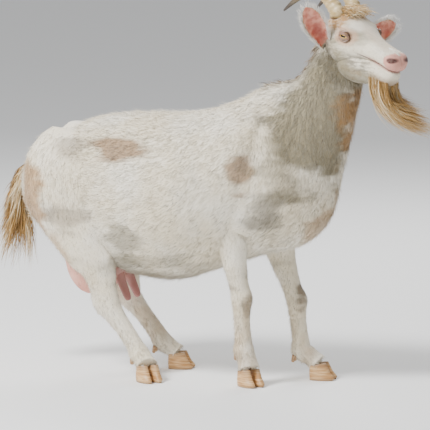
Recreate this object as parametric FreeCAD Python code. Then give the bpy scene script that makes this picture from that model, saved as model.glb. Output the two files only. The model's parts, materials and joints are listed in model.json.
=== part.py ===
"""A standing horned dairy doe, built from the pieces of her own anatomy: bones, muscle, horn and hoof, with working joints.

Modelled in millimetres, with +X towards the head, +Y to the goat's left and +Z up. The feet stand on Z = 0. Every
piece is first built where the anatomy puts it, and the whole animal is then moved so that the bottom centre of its
bounding box is the origin. Running the file writes one STEP file for each node to parts/.
"""

import FreeCAD
import Part
import math
import os

V = FreeCAD.Vector
UP = V(0, 0, 1)
FORWARD = V(1, 0, 0)
LEFT = V(0, 1, 0)
ORIGIN = V(0, 0, 0)
SECTION_POINTS = 12  # points round each lofted section

# ---- Clearances ----
BONE_GAP = 0.5  # between the moving faces of two bones
FLESH_GAP = 1.5  # between soft solids of two bodies

# ---- Trunk: stations along the back ----
# (x, centre height, half width, half depth) of the barrel, from the rump to the chest
BARREL = [
    (-428, 500, 40, 50),
    (-400, 520, 84, 98),
    (-340, 525, 124, 138),
    (-250, 510, 146, 172),
    (-130, 486, 172, 214),
    (0, 482, 184, 224),
    (110, 505, 168, 218),
    (210, 548, 134, 204),
    (290, 585, 116, 172),
    (350, 592, 86, 118),
    (378, 590, 44, 60),
]
WALL = 24  # muscle and hide over the body cavity
# (x, most half width) of the body cavity: narrow between the hips and between the shoulders
CAVITY = [(-190, 44), (-140, 46), (-70, 70), (-20, 132), (40, 134), (80, 80), (130, 50), (190, 46), (232, 40)]

SPINE_DEPTH = 52  # centre of a vertebra below the back line
SPINE_RADIUS = 15
SPINE_FROM = -262
SPINE_TO = 214
VERTEBRAE = 19  # 13 thoracic and 6 lumbar
DISC = 3.0  # gap between two vertebrae
SPINE_CREST = 22  # height of a spinous process
RIBS = 13
RIB_FRONT = 205
RIB_STEP = 21
RIB_WIDTH = 9
RIB_THICKNESS = 6
RIB_INSET = 1  # between the ribs and the cavity wall
TRUE_RIBS = 8  # ribs that meet the breastbone
FREE_RIB_RISE = 28  # each free rib ends this much higher than the one before
BREASTBONE_RADIUS = 11
RIB_CRUMB = 500  # a loose sliver smaller than this, in cubic millimetres, is no rib

# ---- Limb hubs ----
SHOULDER = V(290, 100, 560)
HIP = V(-325, 84, 596)
INNER_SIDE = 62  # half width of the trunk between the moving upper limbs
SHOULDER_DISC = 62  # round muscle about the shoulder joint
HIP_DISC = 68  # round muscle about the hip joint
SHOULDER_SPACE = 82  # clear radius in the chest about the shoulder joint
HIP_SPACE = 73  # clear radius in the rump about the hip joint
SHOULDER_SWEEP = 262  # reach of the elbow about the shoulder joint
HIP_SWEEP = 262  # reach of the stifle about the hip joint
SHOULDER_ROOM = (-53, 55)  # swept room about the shoulder, in degrees from the humerus at rest
HIP_ROOM = (-138, 74)  # swept room about the hip, in degrees from the femur at rest
ELBOW_ROOM = (84, 420, 430)  # rear, front and top of the room beside the chest for the moving forearm
ELBOW_SIDE = 52  # half width of the chest there
STIFLE_ROOM = (-480, -66, 446)  # the same for the moving gaskin
HUB_RADIUS = 21  # bone stub that carries the socket
LIMB_BALL = 17  # ball at the top of the humerus and of the femur
STUB_SHORT = 14  # the stub ends this far inside the centre of the ball, clear of the bone's shaft
PELVIS_SIDE = 46
BLADE_SIDE = 48
BLADE_THICKNESS = 8
# outline of a shoulder blade from the shoulder joint, (forward, up)
BLADE = [(16, 6), (-4, 70), (-62, 148), (-140, 118), (-84, 46), (-16, -4)]

# ---- Fore leg bones, seen from the side ----
HUMERUS = 182
FOREARM = 195
FORE_CANNON = 132
FORE_SIDE = (100, 92, 78, 75)  # distance from the middle at the shoulder, elbow, knee and fetlock
FORE_ROLLERS = (15, 14, 12)  # elbow, knee and fetlock joint radii

# ---- Hind leg bones, seen from the side ----
FEMUR = 197
TIBIA = 245
HIND_CANNON = 155
HIND_SIDE = (84, 108, 96, 95)  # distance from the middle at the hip, stifle, hock and fetlock
HIND_ROLLERS = (19, 15, 12)  # stifle, hock and fetlock joint radii

# ---- Stance: angle of each bone from straight down, forward positive, in degrees ----
FORE_STANCE = {"right": (-40, 8.5, 4.3), "left": (-20, 20.9, 9.2)}
HIND_STANCE = {"right": (36, 9.6, 35.0), "left": (36, 4.7, 39.0)}
TOE_OUT = {"right": 34, "left": 6}
HIND_TOE_OUT = {"right": 40, "left": 8}

# ---- Feet ----
COFFIN_HEIGHT = 36  # centre of the joint inside the hoof above the ground
HOOF_LENGTH = 66
HOOF_WIDTH = 27
HOOF_HEIGHT = 42
HOOF_SPLIT = 5  # gap between the two claws of one foot
HOOF_TAPER = 0.62  # share of its length that a claw keeps at the coronet
PASTERN_RADIUS = 17
DEWCLAW = 9
FORE_PASTERN = 65
HIND_PASTERN = 58

# ---- Neck ----
NECK_PIVOT = V(318, 0, 648)
NECK_HUB = 122  # radius of the round chest muscle that the neck turns on
NECK_HUB_SIDE = 88  # its half width
NECK_JOINT = 14  # radius of the joint between the chest and the first neck bone
NECK_SLOT = (-24, 96)  # slot for the first neck bone, in degrees above straight forward
NECK_SLOT_SIDE = 20
# (x, z, half width, half depth) up the neck
NECK = [
    (350, 690, 82, 96),
    (388, 735, 70, 98),
    (412, 775, 62, 90),
    (430, 815, 56, 80),
    (440, 855, 52, 70),
    (438, 915, 46, 62),
]
ATLAS_DROP = 25  # centre of the atlas below the nodding axis
ATLAS_RADIUS = 20
ATLAS_LENGTH = 24
DENS_RADIUS = 7  # peg of the second neck bone, on which the atlas turns
THROAT_CLEAR = 166  # the throat side of the neck muscle ends this far from the nodding axis, so that the jaw can pass
NAPE_CLEAR = 74  # the nape side ends this far from the nodding axis
THROAT_SPLIT = 16  # the two sides meet this far behind the atlas
NECK_BONES = 6
NECK_BONE_RADIUS = 14

# ---- Head, in its own frame: x to the nose, y left, z up, from the poll ----
POLL = V(464, 0, 995)
HEAD_YAW = -28  # degrees, negative turns to the goat's right
HEAD_PITCH = 17  # degrees, nose down
# (x, centre z, half width, half depth)
HEAD = [
    (-24, -62, 34, 38),
    (10, -66, 58, 60),
    (62, -74, 66, 73),
    (112, -82, 52, 70),
    (160, -78, 40, 56),
    (205, -70, 36, 50),
    (231, -66, 30, 40),
    (241, -64, 18, 24),
]
SKULL_INSET = 11
OCCIPUT = V(-8, 0, -62)
OCCIPUT_RADIUS = 11
OCCIPUT_WIDTH = 34
JAW_HINGE = V(26, 0, -66)
JAW_HINGE_RADIUS = 8
JAW_SIDE = 34  # distance of a jaw branch from the middle at the hinge
ATLAS_ROOM = 52  # room about the nodding axis, for the atlas
JAW_BONE = 7
MOUTH_DROP = 0.055  # fall of the mouth line per millimetre forward of the jaw hinge
MOUTH_GAP = 1.2
JAW_FROM = 74  # the chin and cheek muscle of the jaw starts here, at the mouth line
JAW_SLANT = 40  # and this much further forward at its lower edge
TONGUE = [(70, 10, 5), (110, 16, 8), (165, 17, 8), (205, 14, 6), (216, 7, 3)]
TEETH = 8
TOOTH_RADIUS = 2.4
TOOTH_HEIGHT = 13
TOOTH_ARCH = (214, 15)  # where the row of teeth is centred and its radius
EYE = V(72, 51, -42)
EYE_RADIUS = 15
EYE_SEAT = 0.6
HORN_FOOT = V(4, 30, -4)
HORN_TIP = V(-168, 58, -62)
HORN_RISE = 52  # height of the horn's arc above the line from foot to tip
HORN_BACK_LIFT = 20
HORN_ROOT = 34  # the bone core starts this far inside the skull
HORN_RADIUS = 20
HORN_TIP_RADIUS = 2.5
HORN_SECTIONS = 9
HORN_CORE = 0.55  # share of the horn's length that its bone core fills
EAR_FOOT = V(10, 65, -58)
EAR_BALL = 15
# (distance from the foot, half width, half thickness)
EAR = [(0, 11, 9), (28, 24, 9), (70, 32, 7), (112, 25, 5), (146, 7, 3)]
EAR_WAY = {"right": V(0.15, -0.48, 0.88), "left": V(0.2, 0.78, 0.55)}
CHIN_BEARD = V(196, 0, -112)
BEARD_WAY = V(144, 80, -89)
BEARD_LENGTH = 186
BEARD_ROOT = 19

# ---- Udder ----
# (z, centre x, half length, half width of one side)
UDDER = [(345, -235, 62, 24), (318, -232, 80, 29), (280, -228, 92, 30), (238, -214, 78, 29), (214, -206, 44, 20)]
UDDER_MIDDLE = 31  # each half's distance from the middle
TEAT_TOP = V(-150, 31, 262)
TEAT_TIP = V(-126, 34, 200)
TEAT_RADIUS = 15
TEAT_TIP_RADIUS = 8

# ---- Tail ----
TAIL_ROOT = V(-436, 0, 536)
TAIL_BONES = 6
TAIL_BONE = 17
TAIL_HINGE = 6
TAIL_FALL = 20  # degrees between the tail and straight down
# (distance down the tail, half width, half depth)
TAIL = [(24, 15, 12), (70, 22, 19), (130, 26, 22), (185, 18, 15), (222, 6, 5)]


def moved(shape, placement):
    """The shape carried from its own frame by a placement."""
    done = shape.copy()
    done.Placement = placement.multiply(done.Placement)
    return done


def mirrored(point, side):
    """A point given for the left side, put on the named side."""
    return V(point.x, point.y if side == "left" else -point.y, point.z)


def section(centre, axis, across, deep, side=LEFT):
    """A closed smooth oval: across is its half size along side, deep its half size square to that and to axis."""
    way = V(axis).normalize()
    over = V(side) - way * V(side).dot(way)
    over.normalize()
    other = way.cross(over)
    turn = 2 * math.pi / SECTION_POINTS
    angles = [k * turn - math.pi / 2 for k in range(SECTION_POINTS)]  # the seam lies underneath
    points = [centre + over * (across * math.cos(a)) + other * (deep * math.sin(a)) for a in angles]
    curve = Part.BSplineCurve()
    curve.interpolate(Points=points, PeriodicFlag=True)
    return Part.Wire([curve.toShape()])


def loft(sections):
    """A closed solid through a list of section wires."""
    solid = Part.makeLoft(sections, True, False, False)
    if solid.Volume < 0:
        solid.reverse()
    return solid


def tube(stations, side=LEFT):
    """A lofted solid through (centre, half across, half deep) stations, each section square to the path."""
    wires = []
    for k, (centre, across, deep) in enumerate(stations):
        before = stations[max(k - 1, 0)][0]
        after = stations[min(k + 1, len(stations) - 1)][0]
        wires.append(section(centre, after - before, across, deep, side))
    return loft(wires)


def rod(start, end, start_radius, end_radius=None):
    """A round bar or cone from one point to another."""
    end_radius = start_radius if end_radius is None else end_radius
    way = end - start
    if abs(start_radius - end_radius) < 1e-6:
        return Part.makeCylinder(start_radius, way.Length, start, way)
    return Part.makeCone(start_radius, end_radius, way.Length, start, way)


def ball(centre, radius):
    """A sphere with its poles fore and aft, which keeps its seam off the seams of the lofts."""
    return Part.makeSphere(radius, centre, FORWARD)


def roller(centre, radius, width, axis=LEFT):
    """A round bar of the given width, centred on a joint and lying along its axis."""
    way = V(axis).normalize()
    return Part.makeCylinder(radius, width, centre - way * (width / 2), way)


def part_way(start, end, share):
    """The point that lies a share of the way between two points."""
    return start + (end - start) * share


def fused(shapes):
    """One solid from overlapping shapes."""
    return shapes[0].multiFuse(shapes[1:]).removeSplitter() if len(shapes) > 1 else shapes[0]


def largest(shape):
    """The largest solid of a shape. A cut near an edge can leave loose crumbs, which are dropped."""
    return max(shape.Solids, key=lambda solid: solid.Volume)


def joint_width(radius):
    """Length of a hinge roller for its radius."""
    return radius * 2.5


def long_bone(top, bottom, top_joint, bottom_joint, top_ball=False, bottom_axis=LEFT):
    """A limb bone. It starts with a cup under the joint above, or a ball inside a socket, and ends in a roller."""
    way = (bottom - top).normalize()
    shaft = min(bottom_joint, top_joint) * 0.62
    parts = [roller(bottom, bottom_joint, joint_width(bottom_joint), bottom_axis)]
    if top_ball:
        parts.append(ball(top, top_joint))
        shaft_top = top + way * (top_joint * 0.55)
    else:
        parts.append(rod(top + way * (top_joint * 0.5), top + way * (top_joint * 2.3), top_joint * 1.08, shaft))
        shaft_top = top + way * (top_joint * 1.32)
    parts.append(rod(shaft_top, part_way(top, bottom, 0.54), shaft * 1.15, shaft))
    parts.append(rod(part_way(top, bottom, 0.46), bottom - way * (bottom_joint * 0.3), shaft * 1.03, shaft * 1.2))
    bone = fused(parts)
    if not top_ball:
        bone = bone.cut(roller(top, top_joint + BONE_GAP, joint_width(top_joint) + 8))
    return bone


def down_and_forward(start, length, degrees, side_distance, side):
    """The far end of a bone that leans forward by an angle from straight down."""
    angle = math.radians(degrees)
    y = side_distance if side == "left" else -side_distance
    return V(start.x + length * math.sin(angle), y, start.z - length * math.cos(angle))


def fore_joints(side):
    """Shoulder, elbow, knee and fetlock of one fore leg."""
    points = [mirrored(SHOULDER, side)]
    for length, angle, out in zip((HUMERUS, FOREARM, FORE_CANNON), FORE_STANCE[side], FORE_SIDE[1:]):
        points.append(down_and_forward(points[-1], length, angle, out, side))
    return points


def hind_joints(side):
    """Hip, stifle, hock and fetlock of one hind leg."""
    points = [mirrored(HIP, side)]
    for length, angle, out in zip((FEMUR, TIBIA, HIND_CANNON), HIND_STANCE[side], HIND_SIDE[1:]):
        points.append(down_and_forward(points[-1], length, angle, out, side))
    return points


def toe_way(side, toe_out):
    """The level direction in which a foot points."""
    angle = math.radians(toe_out if side == "left" else -toe_out)
    return V(math.cos(angle), math.sin(angle), 0)


def foot_parts(fetlock, pastern, side, toe_out, above):
    """The bones, sleeve and claws of one foot. above is the cannon's upper joint."""
    toe = toe_way(side, toe_out)
    over = UP.cross(toe)
    drop = fetlock.z - COFFIN_HEIGHT
    reach = math.sqrt(max(pastern**2 - drop**2, 0.0))
    coffin = fetlock + toe * reach - UP * drop
    way = (coffin - fetlock).normalize()
    seat = FORE_ROLLERS[2]
    claw_offset = (HOOF_WIDTH + HOOF_SPLIT) / 2
    bones, claws = [], []
    for hand in (-1, 1):
        start = fetlock + over * (hand * seat * 0.66)
        end = coffin + over * (hand * claw_offset)
        digit = (end - start).normalize()
        first = rod(start + digit * (seat * 0.55), part_way(start, end, 0.62), 7.6, 6.6)
        first = first.cut(roller(fetlock, seat + BONE_GAP, joint_width(seat) + 10, over))
        second = rod(part_way(start, end, 0.66), end, 6.6, 6.2)
        bones += [first, second]
        claws.append(claw(coffin + over * (hand * claw_offset), toe, over, hand).cut(second))
    heel = fetlock - toe * (PASTERN_RADIUS + 3) - UP * 14
    for hand in (-1, 1):
        root = heel + over * (hand * 12)
        claws.append(rod(root, root - toe * 5 - UP * 17, DEWCLAW, DEWCLAW * 0.55))
    top = fetlock + way * (seat * 1.75)
    low = fetlock + way * (pastern * 0.80)
    sleeve = tube([(top, 19, 16), (part_way(top, low, 0.5), 23, PASTERN_RADIUS), (low, 29, 18)], over)
    for piece in bones + claws:
        sleeve = sleeve.cut(piece)
    return Part.makeCompound(bones), sleeve, Part.makeCompound(claws)


def claw(centre, toe, over, hand):
    """One hoof claw: a flat sole, a sloping toe wall and an upright heel, standing on the ground."""
    heel_x, toe_x = -HOOF_LENGTH * 0.42, HOOF_LENGTH * 0.58
    ground = V(centre.x, centre.y, 0)
    wires = []
    for height, share, width in ((0.0, 1.0, 1.0), (HOOF_HEIGHT * 0.55, 0.84, 0.97), (HOOF_HEIGHT, HOOF_TAPER, 0.86)):
        back = heel_x * (0.94 + 0.06 * share)
        front = back + HOOF_LENGTH * share
        middle = ground + toe * ((back + front) / 2) + UP * height
        wires.append(section(middle, UP, HOOF_WIDTH * width / 2, (front - back) / 2, over))
    return loft(wires)


def muscle(joints, stations, bones):
    """A limb's soft solid. stations are (share down the bone, shift forward, half across, half deep)."""
    start, end = joints
    path = [(part_way(start, end, share) + FORWARD * shift, across, deep) for share, shift, across, deep in stations]
    solid = tube(path)
    for bone in bones:
        solid = solid.cut(bone)
    return solid


def fore_leg(side):
    """The nodes of one fore leg, by name."""
    shoulder, elbow, knee, fetlock = fore_joints(side)
    at_elbow, at_knee, at_fetlock = FORE_ROLLERS
    humerus = long_bone(shoulder, elbow, LIMB_BALL, at_elbow, top_ball=True)
    radius = long_bone(elbow, knee, at_elbow, at_knee)
    point = elbow - FORWARD * 22 + UP * 16
    radius = fused([radius, rod(part_way(elbow, knee, 0.16) - FORWARD * 6, point, 9, 7)])
    radius = radius.cut(roller(elbow, at_elbow + BONE_GAP, joint_width(at_elbow) + 8))
    cannon = long_bone(knee, fetlock, at_knee, at_fetlock, bottom_axis=UP.cross(toe_way(side, TOE_OUT[side])))
    out = 1 if side == "left" else -1
    hub = mirrored(V(SHOULDER.x, INNER_SIDE + FLESH_GAP, SHOULDER.z), side)
    disc = Part.makeCylinder(SHOULDER_DISC, 68, hub, V(0, out, 0))
    upper = tube(
        [
            (V(shoulder.x, hub.y + out * 36, shoulder.z) - FORWARD * 2, 33, 46),
            (part_way(shoulder, elbow, 0.35) + V(-2, out * 5, 0), 33, 48),
            (part_way(shoulder, elbow, 0.70) + V(0, out * 7, 0), 30, 45),
            (part_way(shoulder, elbow, 0.84) + V(0, out * 6, 0), 26, 38),
        ]
    )
    upper = disc.fuse(upper)
    socket = roller(V(shoulder.x, hub.y, shoulder.z), HUB_RADIUS + FLESH_GAP, 2 * (abs(shoulder.y) - INNER_SIDE - 6))
    upper = upper.cut(socket).cut(humerus)
    bones, sleeve, claws = foot_parts(fetlock, FORE_PASTERN, side, TOE_OUT[side], knee)
    return {
        f"{side}_humerus": humerus,
        f"{side}_upper_arm_muscle": upper,
        f"{side}_forearm_bone": radius,
        f"{side}_forearm_muscle": muscle(
            (elbow, knee), [(0.25, 0, 32, 38), (0.42, 1, 28, 33), (0.66, 0, 24, 27), (0.84, 0, 22, 23)], [radius]
        ),
        f"{side}_fore_cannon_bone": cannon,
        f"{side}_fore_cannon_sleeve": muscle(
            (knee, fetlock), [(0.20, 0, 21, 22), (0.45, -1, 18, 20), (0.80, -1, 21, 22)], [cannon]
        ),
        f"{side}_fore_pastern_bones": bones,
        f"{side}_fore_pastern_sleeve": sleeve,
        f"{side}_fore_claws": claws,
    }


def hind_leg(side):
    """The nodes of one hind leg, by name."""
    hip, stifle, hock, fetlock = hind_joints(side)
    at_stifle, at_hock, at_fetlock = HIND_ROLLERS
    femur = long_bone(hip, stifle, LIMB_BALL, at_stifle, top_ball=True)
    tibia = long_bone(stifle, hock, at_stifle, at_hock)
    cannon = long_bone(hock, fetlock, at_hock, at_fetlock, bottom_axis=UP.cross(toe_way(side, HIND_TOE_OUT[side])))
    bend, point = hock + V(-26, 0, -20), hock + V(-34, 0, 16)
    heel = [rod(part_way(hock, fetlock, 0.26), bend, 8, 9), ball(bend, 9.5), rod(bend, point, 9, 8)]
    cannon = fused([cannon] + heel)
    cannon = cannon.cut(roller(hock, at_hock + BONE_GAP, joint_width(at_hock) + 8))
    out = 1 if side == "left" else -1
    hub = mirrored(V(HIP.x, INNER_SIDE + FLESH_GAP, HIP.z), side)
    disc = Part.makeCylinder(HIP_DISC, 62, hub, V(0, out, 0))
    thigh = tube(
        [
            (V(hip.x, hub.y + out * 40, hip.z), 36, 60),
            (V(hip.x + 14, hub.y + out * 45, hip.z - 58), 41, 98),
            (V(stifle.x - 76, hub.y + out * 47, stifle.z + 52), 41, 92),
            (V(stifle.x - 66, hub.y + out * 46, stifle.z + 4), 34, 62),
        ]
    )
    thigh = disc.fuse(thigh)
    thigh = thigh.cut(roller(stifle, 46, 200))
    socket = roller(V(hip.x, hub.y, hip.z), HUB_RADIUS + FLESH_GAP, 2 * (abs(hip.y) - INNER_SIDE + 8))
    thigh = thigh.cut(socket).cut(femur)
    bones, sleeve, claws = foot_parts(fetlock, HIND_PASTERN, side, HIND_TOE_OUT[side], hock)
    return {
        f"{side}_femur": femur,
        f"{side}_thigh_muscle": thigh,
        f"{side}_shin_bone": tibia,
        f"{side}_gaskin_muscle": muscle(
            (stifle, hock), [(0.25, -30, 34, 52), (0.45, -14, 30, 42), (0.66, -6, 26, 32), (0.84, -2, 24, 26)], [tibia]
        ),
        f"{side}_hind_cannon_bone": cannon,
        f"{side}_hind_cannon_sleeve": muscle(
            (hock, fetlock), [(0.24, 0, 22, 25), (0.50, 0, 20, 23), (0.82, 0, 22, 24)], [cannon]
        ),
        f"{side}_hind_pastern_bones": bones,
        f"{side}_hind_pastern_sleeve": sleeve,
        f"{side}_hind_claws": claws,
    }


def barrel_at(x):
    """Centre height, half width and half depth of the barrel at a place along the back, between its stations."""
    for (xa, *a), (xb, *b) in zip(BARREL, BARREL[1:]):
        if xa <= x <= xb:
            share = (x - xa) / (xb - xa)
            return [p + (q - p) * share for p, q in zip(a, b)]
    return list(BARREL[-1][1:]) if x > BARREL[-1][0] else list(BARREL[0][1:])


def pie(centre, radius, low_y, high_y, first, last):
    """A slice of a round bar that lies along Y about a joint. Angles are forward from straight down, in degrees."""
    slice_ = Part.makeCylinder(radius, high_y - low_y, ORIGIN, LEFT, last - first)
    turn = FreeCAD.Rotation(LEFT, 180 - last)  # the slice starts straight up and opens forward
    return moved(slice_, FreeCAD.Placement(V(centre.x, low_y, centre.z), turn))


def limb_room(side):
    """The room that the upper limbs of one side sweep, cut out of the trunk."""
    low, high = (INNER_SIDE, 260) if side == "left" else (-260, -INNER_SIDE)
    room = []
    for centre, space, sweep, stance, (back, front) in (
        (SHOULDER, SHOULDER_SPACE, SHOULDER_SWEEP, FORE_STANCE[side][0], SHOULDER_ROOM),
        (HIP, HIP_SPACE, HIP_SWEEP, HIND_STANCE[side][0], HIP_ROOM),
    ):
        start = V(centre.x, low, centre.z)
        room.append(Part.makeCylinder(space, high - low, start, LEFT))
        room.append(pie(centre, sweep, low, high, stance + back, stance + front))
    for (rear, front, top), inner in ((ELBOW_ROOM, ELBOW_SIDE), (STIFLE_ROOM, INNER_SIDE)):
        low = inner if side == "left" else -260
        room.append(Part.makeBox(front - rear, 260 - inner, top, V(rear, low, 0)))
    return room


def socket_stub(centre, inner, side):
    """The bone stub that carries the socket of a shoulder or hip."""
    out = 1 if side == "left" else -1
    start = V(centre.x, out * inner, centre.z)
    stub = rod(start, V(centre.x, centre.y - out * STUB_SHORT, centre.z), HUB_RADIUS)
    return stub.cut(ball(centre, LIMB_BALL + BONE_GAP))


def spine_height(x):
    """Height of the centre of the backbone at a place along the trunk."""
    centre, _, deep = barrel_at(x)
    return centre + deep - SPINE_DEPTH


def cavity_sections(inset):
    """(x, centre height, half width, half depth) of the body cavity, drawn in by an inset."""
    rows = []
    for x, narrow in CAVITY:
        centre, across, deep = barrel_at(x)
        rows.append((x, centre, min(across - WALL, narrow) - inset, deep - WALL - inset))
    return rows


def between(rows, x):
    """Values of a table of rows at x, taken in a straight line between its rows."""
    for (xa, *a), (xb, *b) in zip(rows, rows[1:]):
        if xa <= x <= xb:
            share = (x - xa) / (xb - xa)
            return [p + (q - p) * share for p, q in zip(a, b)]
    raise ValueError("outside the table")


def rib_ring(x, across, top, bottom):
    """One pair of ribs as an upright oval ring, before it is trimmed to the backbone."""
    centre = V(x, 0, (top + bottom) / 2)
    deep = (top - bottom) / 2
    outer = Part.Face(section(centre, FORWARD, across, deep))
    inner = Part.Face(section(centre, FORWARD, across - RIB_THICKNESS, deep - RIB_THICKNESS))
    return outer.cut(inner).extrude(FORWARD * RIB_WIDTH)


def rib_cage(vertebrae):
    """Ribs and breastbone. The front ribs meet the breastbone and the rear ones end free."""
    joined, free, sternum = [], [], []
    rows = cavity_sections(RIB_INSET)
    for k in range(RIBS):
        x = RIB_FRONT - k * RIB_STEP
        centre, across, deep = between(rows, x)
        top, bottom = spine_height(x), centre - deep
        ring = rib_ring(x, across, top, bottom)
        if k < TRUE_RIBS:
            joined.append(ring)
            sternum.append(V(x + RIB_WIDTH / 2, 0, bottom + RIB_THICKNESS / 2))
        else:
            keep = bottom + (k - TRUE_RIBS + 2) * FREE_RIB_RISE
            free.append(ring.cut(Part.makeBox(60, 600, 600, V(x - 25, -300, keep - 600))))
    for a, b in zip(sternum, sternum[1:]):
        joined.append(rod(a, b, BREASTBONE_RADIUS))
    cut = [solid for piece in [fused(joined)] + free for solid in piece.cut(vertebrae).Solids]
    return Part.makeCompound([solid for solid in cut if solid.Volume > RIB_CRUMB])


def backbone():
    """Vertebrae of the trunk, the sacrum behind them and the bone that carries the neck."""
    pieces = []
    pitch = (SPINE_TO - SPINE_FROM) / VERTEBRAE
    for k in range(VERTEBRAE):
        rear = SPINE_FROM + k * pitch
        front = rear + pitch - DISC
        a, b = V(rear, 0, spine_height(rear)), V(front, 0, spine_height(front))
        crest = Part.makeBox(pitch * 0.5, 5, SPINE_CREST + 8, V(rear + pitch * 0.15, -2.5, a.z + SPINE_RADIUS - 8))
        pieces.append(rod(a, b, SPINE_RADIUS).fuse(crest))
    start = V(SPINE_FROM - DISC, 0, spine_height(SPINE_FROM))
    sacrum = rod(start, TAIL_ROOT, 12, 6).fuse(roller(TAIL_ROOT, TAIL_HINGE, 20))
    neck_end = V(SPINE_TO, 0, spine_height(SPINE_TO))
    first = rod(neck_end, NECK_PIVOT, 12, NECK_JOINT * 0.5).fuse(roller(NECK_PIVOT, NECK_JOINT, joint_width(NECK_JOINT)))
    return Part.makeCompound(pieces + [sacrum, first])


def pelvis():
    """Both sides of the pelvis with the hip sockets, joined by a bar under the gut."""
    parts = []
    for side in ("left", "right"):
        hip = mirrored(HIP, side)
        inner = mirrored(V(HIP.x, PELVIS_SIDE, HIP.z), side)
        parts.append(socket_stub(hip, PELVIS_SIDE - 12, side))
        parts.append(rod(inner, mirrored(V(SPINE_FROM + 4, 26, HIP.z + 52), side), 12, 9))
        parts.append(rod(inner, mirrored(V(HIP.x - 72, PELVIS_SIDE - 8, HIP.z - 28), side), 12, 9))
        parts.append(rod(inner, V(HIP.x + 8, 0, HIP.z - 48), 11, 9))
    return fused(parts)


def shoulder_blade(side):
    """One shoulder blade: a flat plate with the socket at its lower end."""
    out = 1 if side == "left" else -1
    shoulder = mirrored(SHOULDER, side)
    outline = [V(SHOULDER.x + dx, 0, SHOULDER.z + dz) for dx, dz in BLADE]
    y = BLADE_SIDE if out > 0 else -BLADE_SIDE - BLADE_THICKNESS
    plate = Part.Face(Part.makePolygon(outline + outline[:1])).extrude(LEFT * BLADE_THICKNESS)
    plate.translate(V(0, y, 0))
    return fused([plate, socket_stub(shoulder, BLADE_SIDE - 2, side)])


def udder(barrel):
    """Both halves of the udder with their teats, hung under the barrel."""
    halves = []
    for out in (1, -1):
        path = [(V(x, out * UDDER_MIDDLE, z), across, length) for z, x, length, across in UDDER]
        bag = tube(path)
        teat = rod(V(TEAT_TOP.x, out * TEAT_TOP.y, TEAT_TOP.z), V(TEAT_TIP.x, out * TEAT_TIP.y, TEAT_TIP.z),
                   TEAT_RADIUS, TEAT_TIP_RADIUS)
        halves.append(bag.fuse(teat).cut(barrel))
    return Part.makeCompound(halves)


def trunk():
    """The nodes of the trunk."""
    outside = loft([section(V(x, 0, z), FORWARD, across, deep) for x, z, across, deep in BARREL])
    slab = Part.makeBox(600, 2 * NECK_HUB_SIDE, 600, NECK_PIVOT - V(300, NECK_HUB_SIDE, 300))
    outside = outside.fuse(ball(NECK_PIVOT, NECK_HUB).common(slab))
    cavity = loft([section(V(x, 0, z), FORWARD, across, deep) for x, z, across, deep in cavity_sections(0)])
    spine = backbone()
    ribs = rib_cage(spine)
    hips = pelvis()
    blades = [shoulder_blade(side) for side in ("left", "right")]
    slot = pie(NECK_PIVOT, NECK_HUB + 4, -NECK_SLOT_SIDE, NECK_SLOT_SIDE, 90 + NECK_SLOT[0], 90 + NECK_SLOT[1])
    joint_room = roller(NECK_PIVOT, NECK_JOINT + 12, 2 * NECK_SLOT_SIDE)
    bag = udder(outside)
    body = outside.cut([cavity, slot, joint_room] + limb_room("left") + limb_room("right"))
    body = body.cut([spine, hips, ribs] + blades)
    return {
        "barrel": body,
        "backbone": spine,
        "rib_cage": ribs,
        "pelvis": hips,
        "shoulder_blades": Part.makeCompound(blades),
        "udder": bag,
    }


def head_place():
    """The placement that carries the head's own frame to where the head is held."""
    turn = FreeCAD.Rotation(UP, HEAD_YAW).multiply(FreeCAD.Rotation(LEFT, HEAD_PITCH))
    return FreeCAD.Placement(POLL, turn)


def nod_point():
    """Middle of the nodding axis, between the skull and the atlas."""
    return head_place().multVec(OCCIPUT)


def nod_axis():
    """Direction of the nodding axis."""
    return head_place().Rotation.multVec(LEFT)


def atlas_point():
    """Centre of the atlas."""
    return nod_point() - UP * ATLAS_DROP


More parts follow.
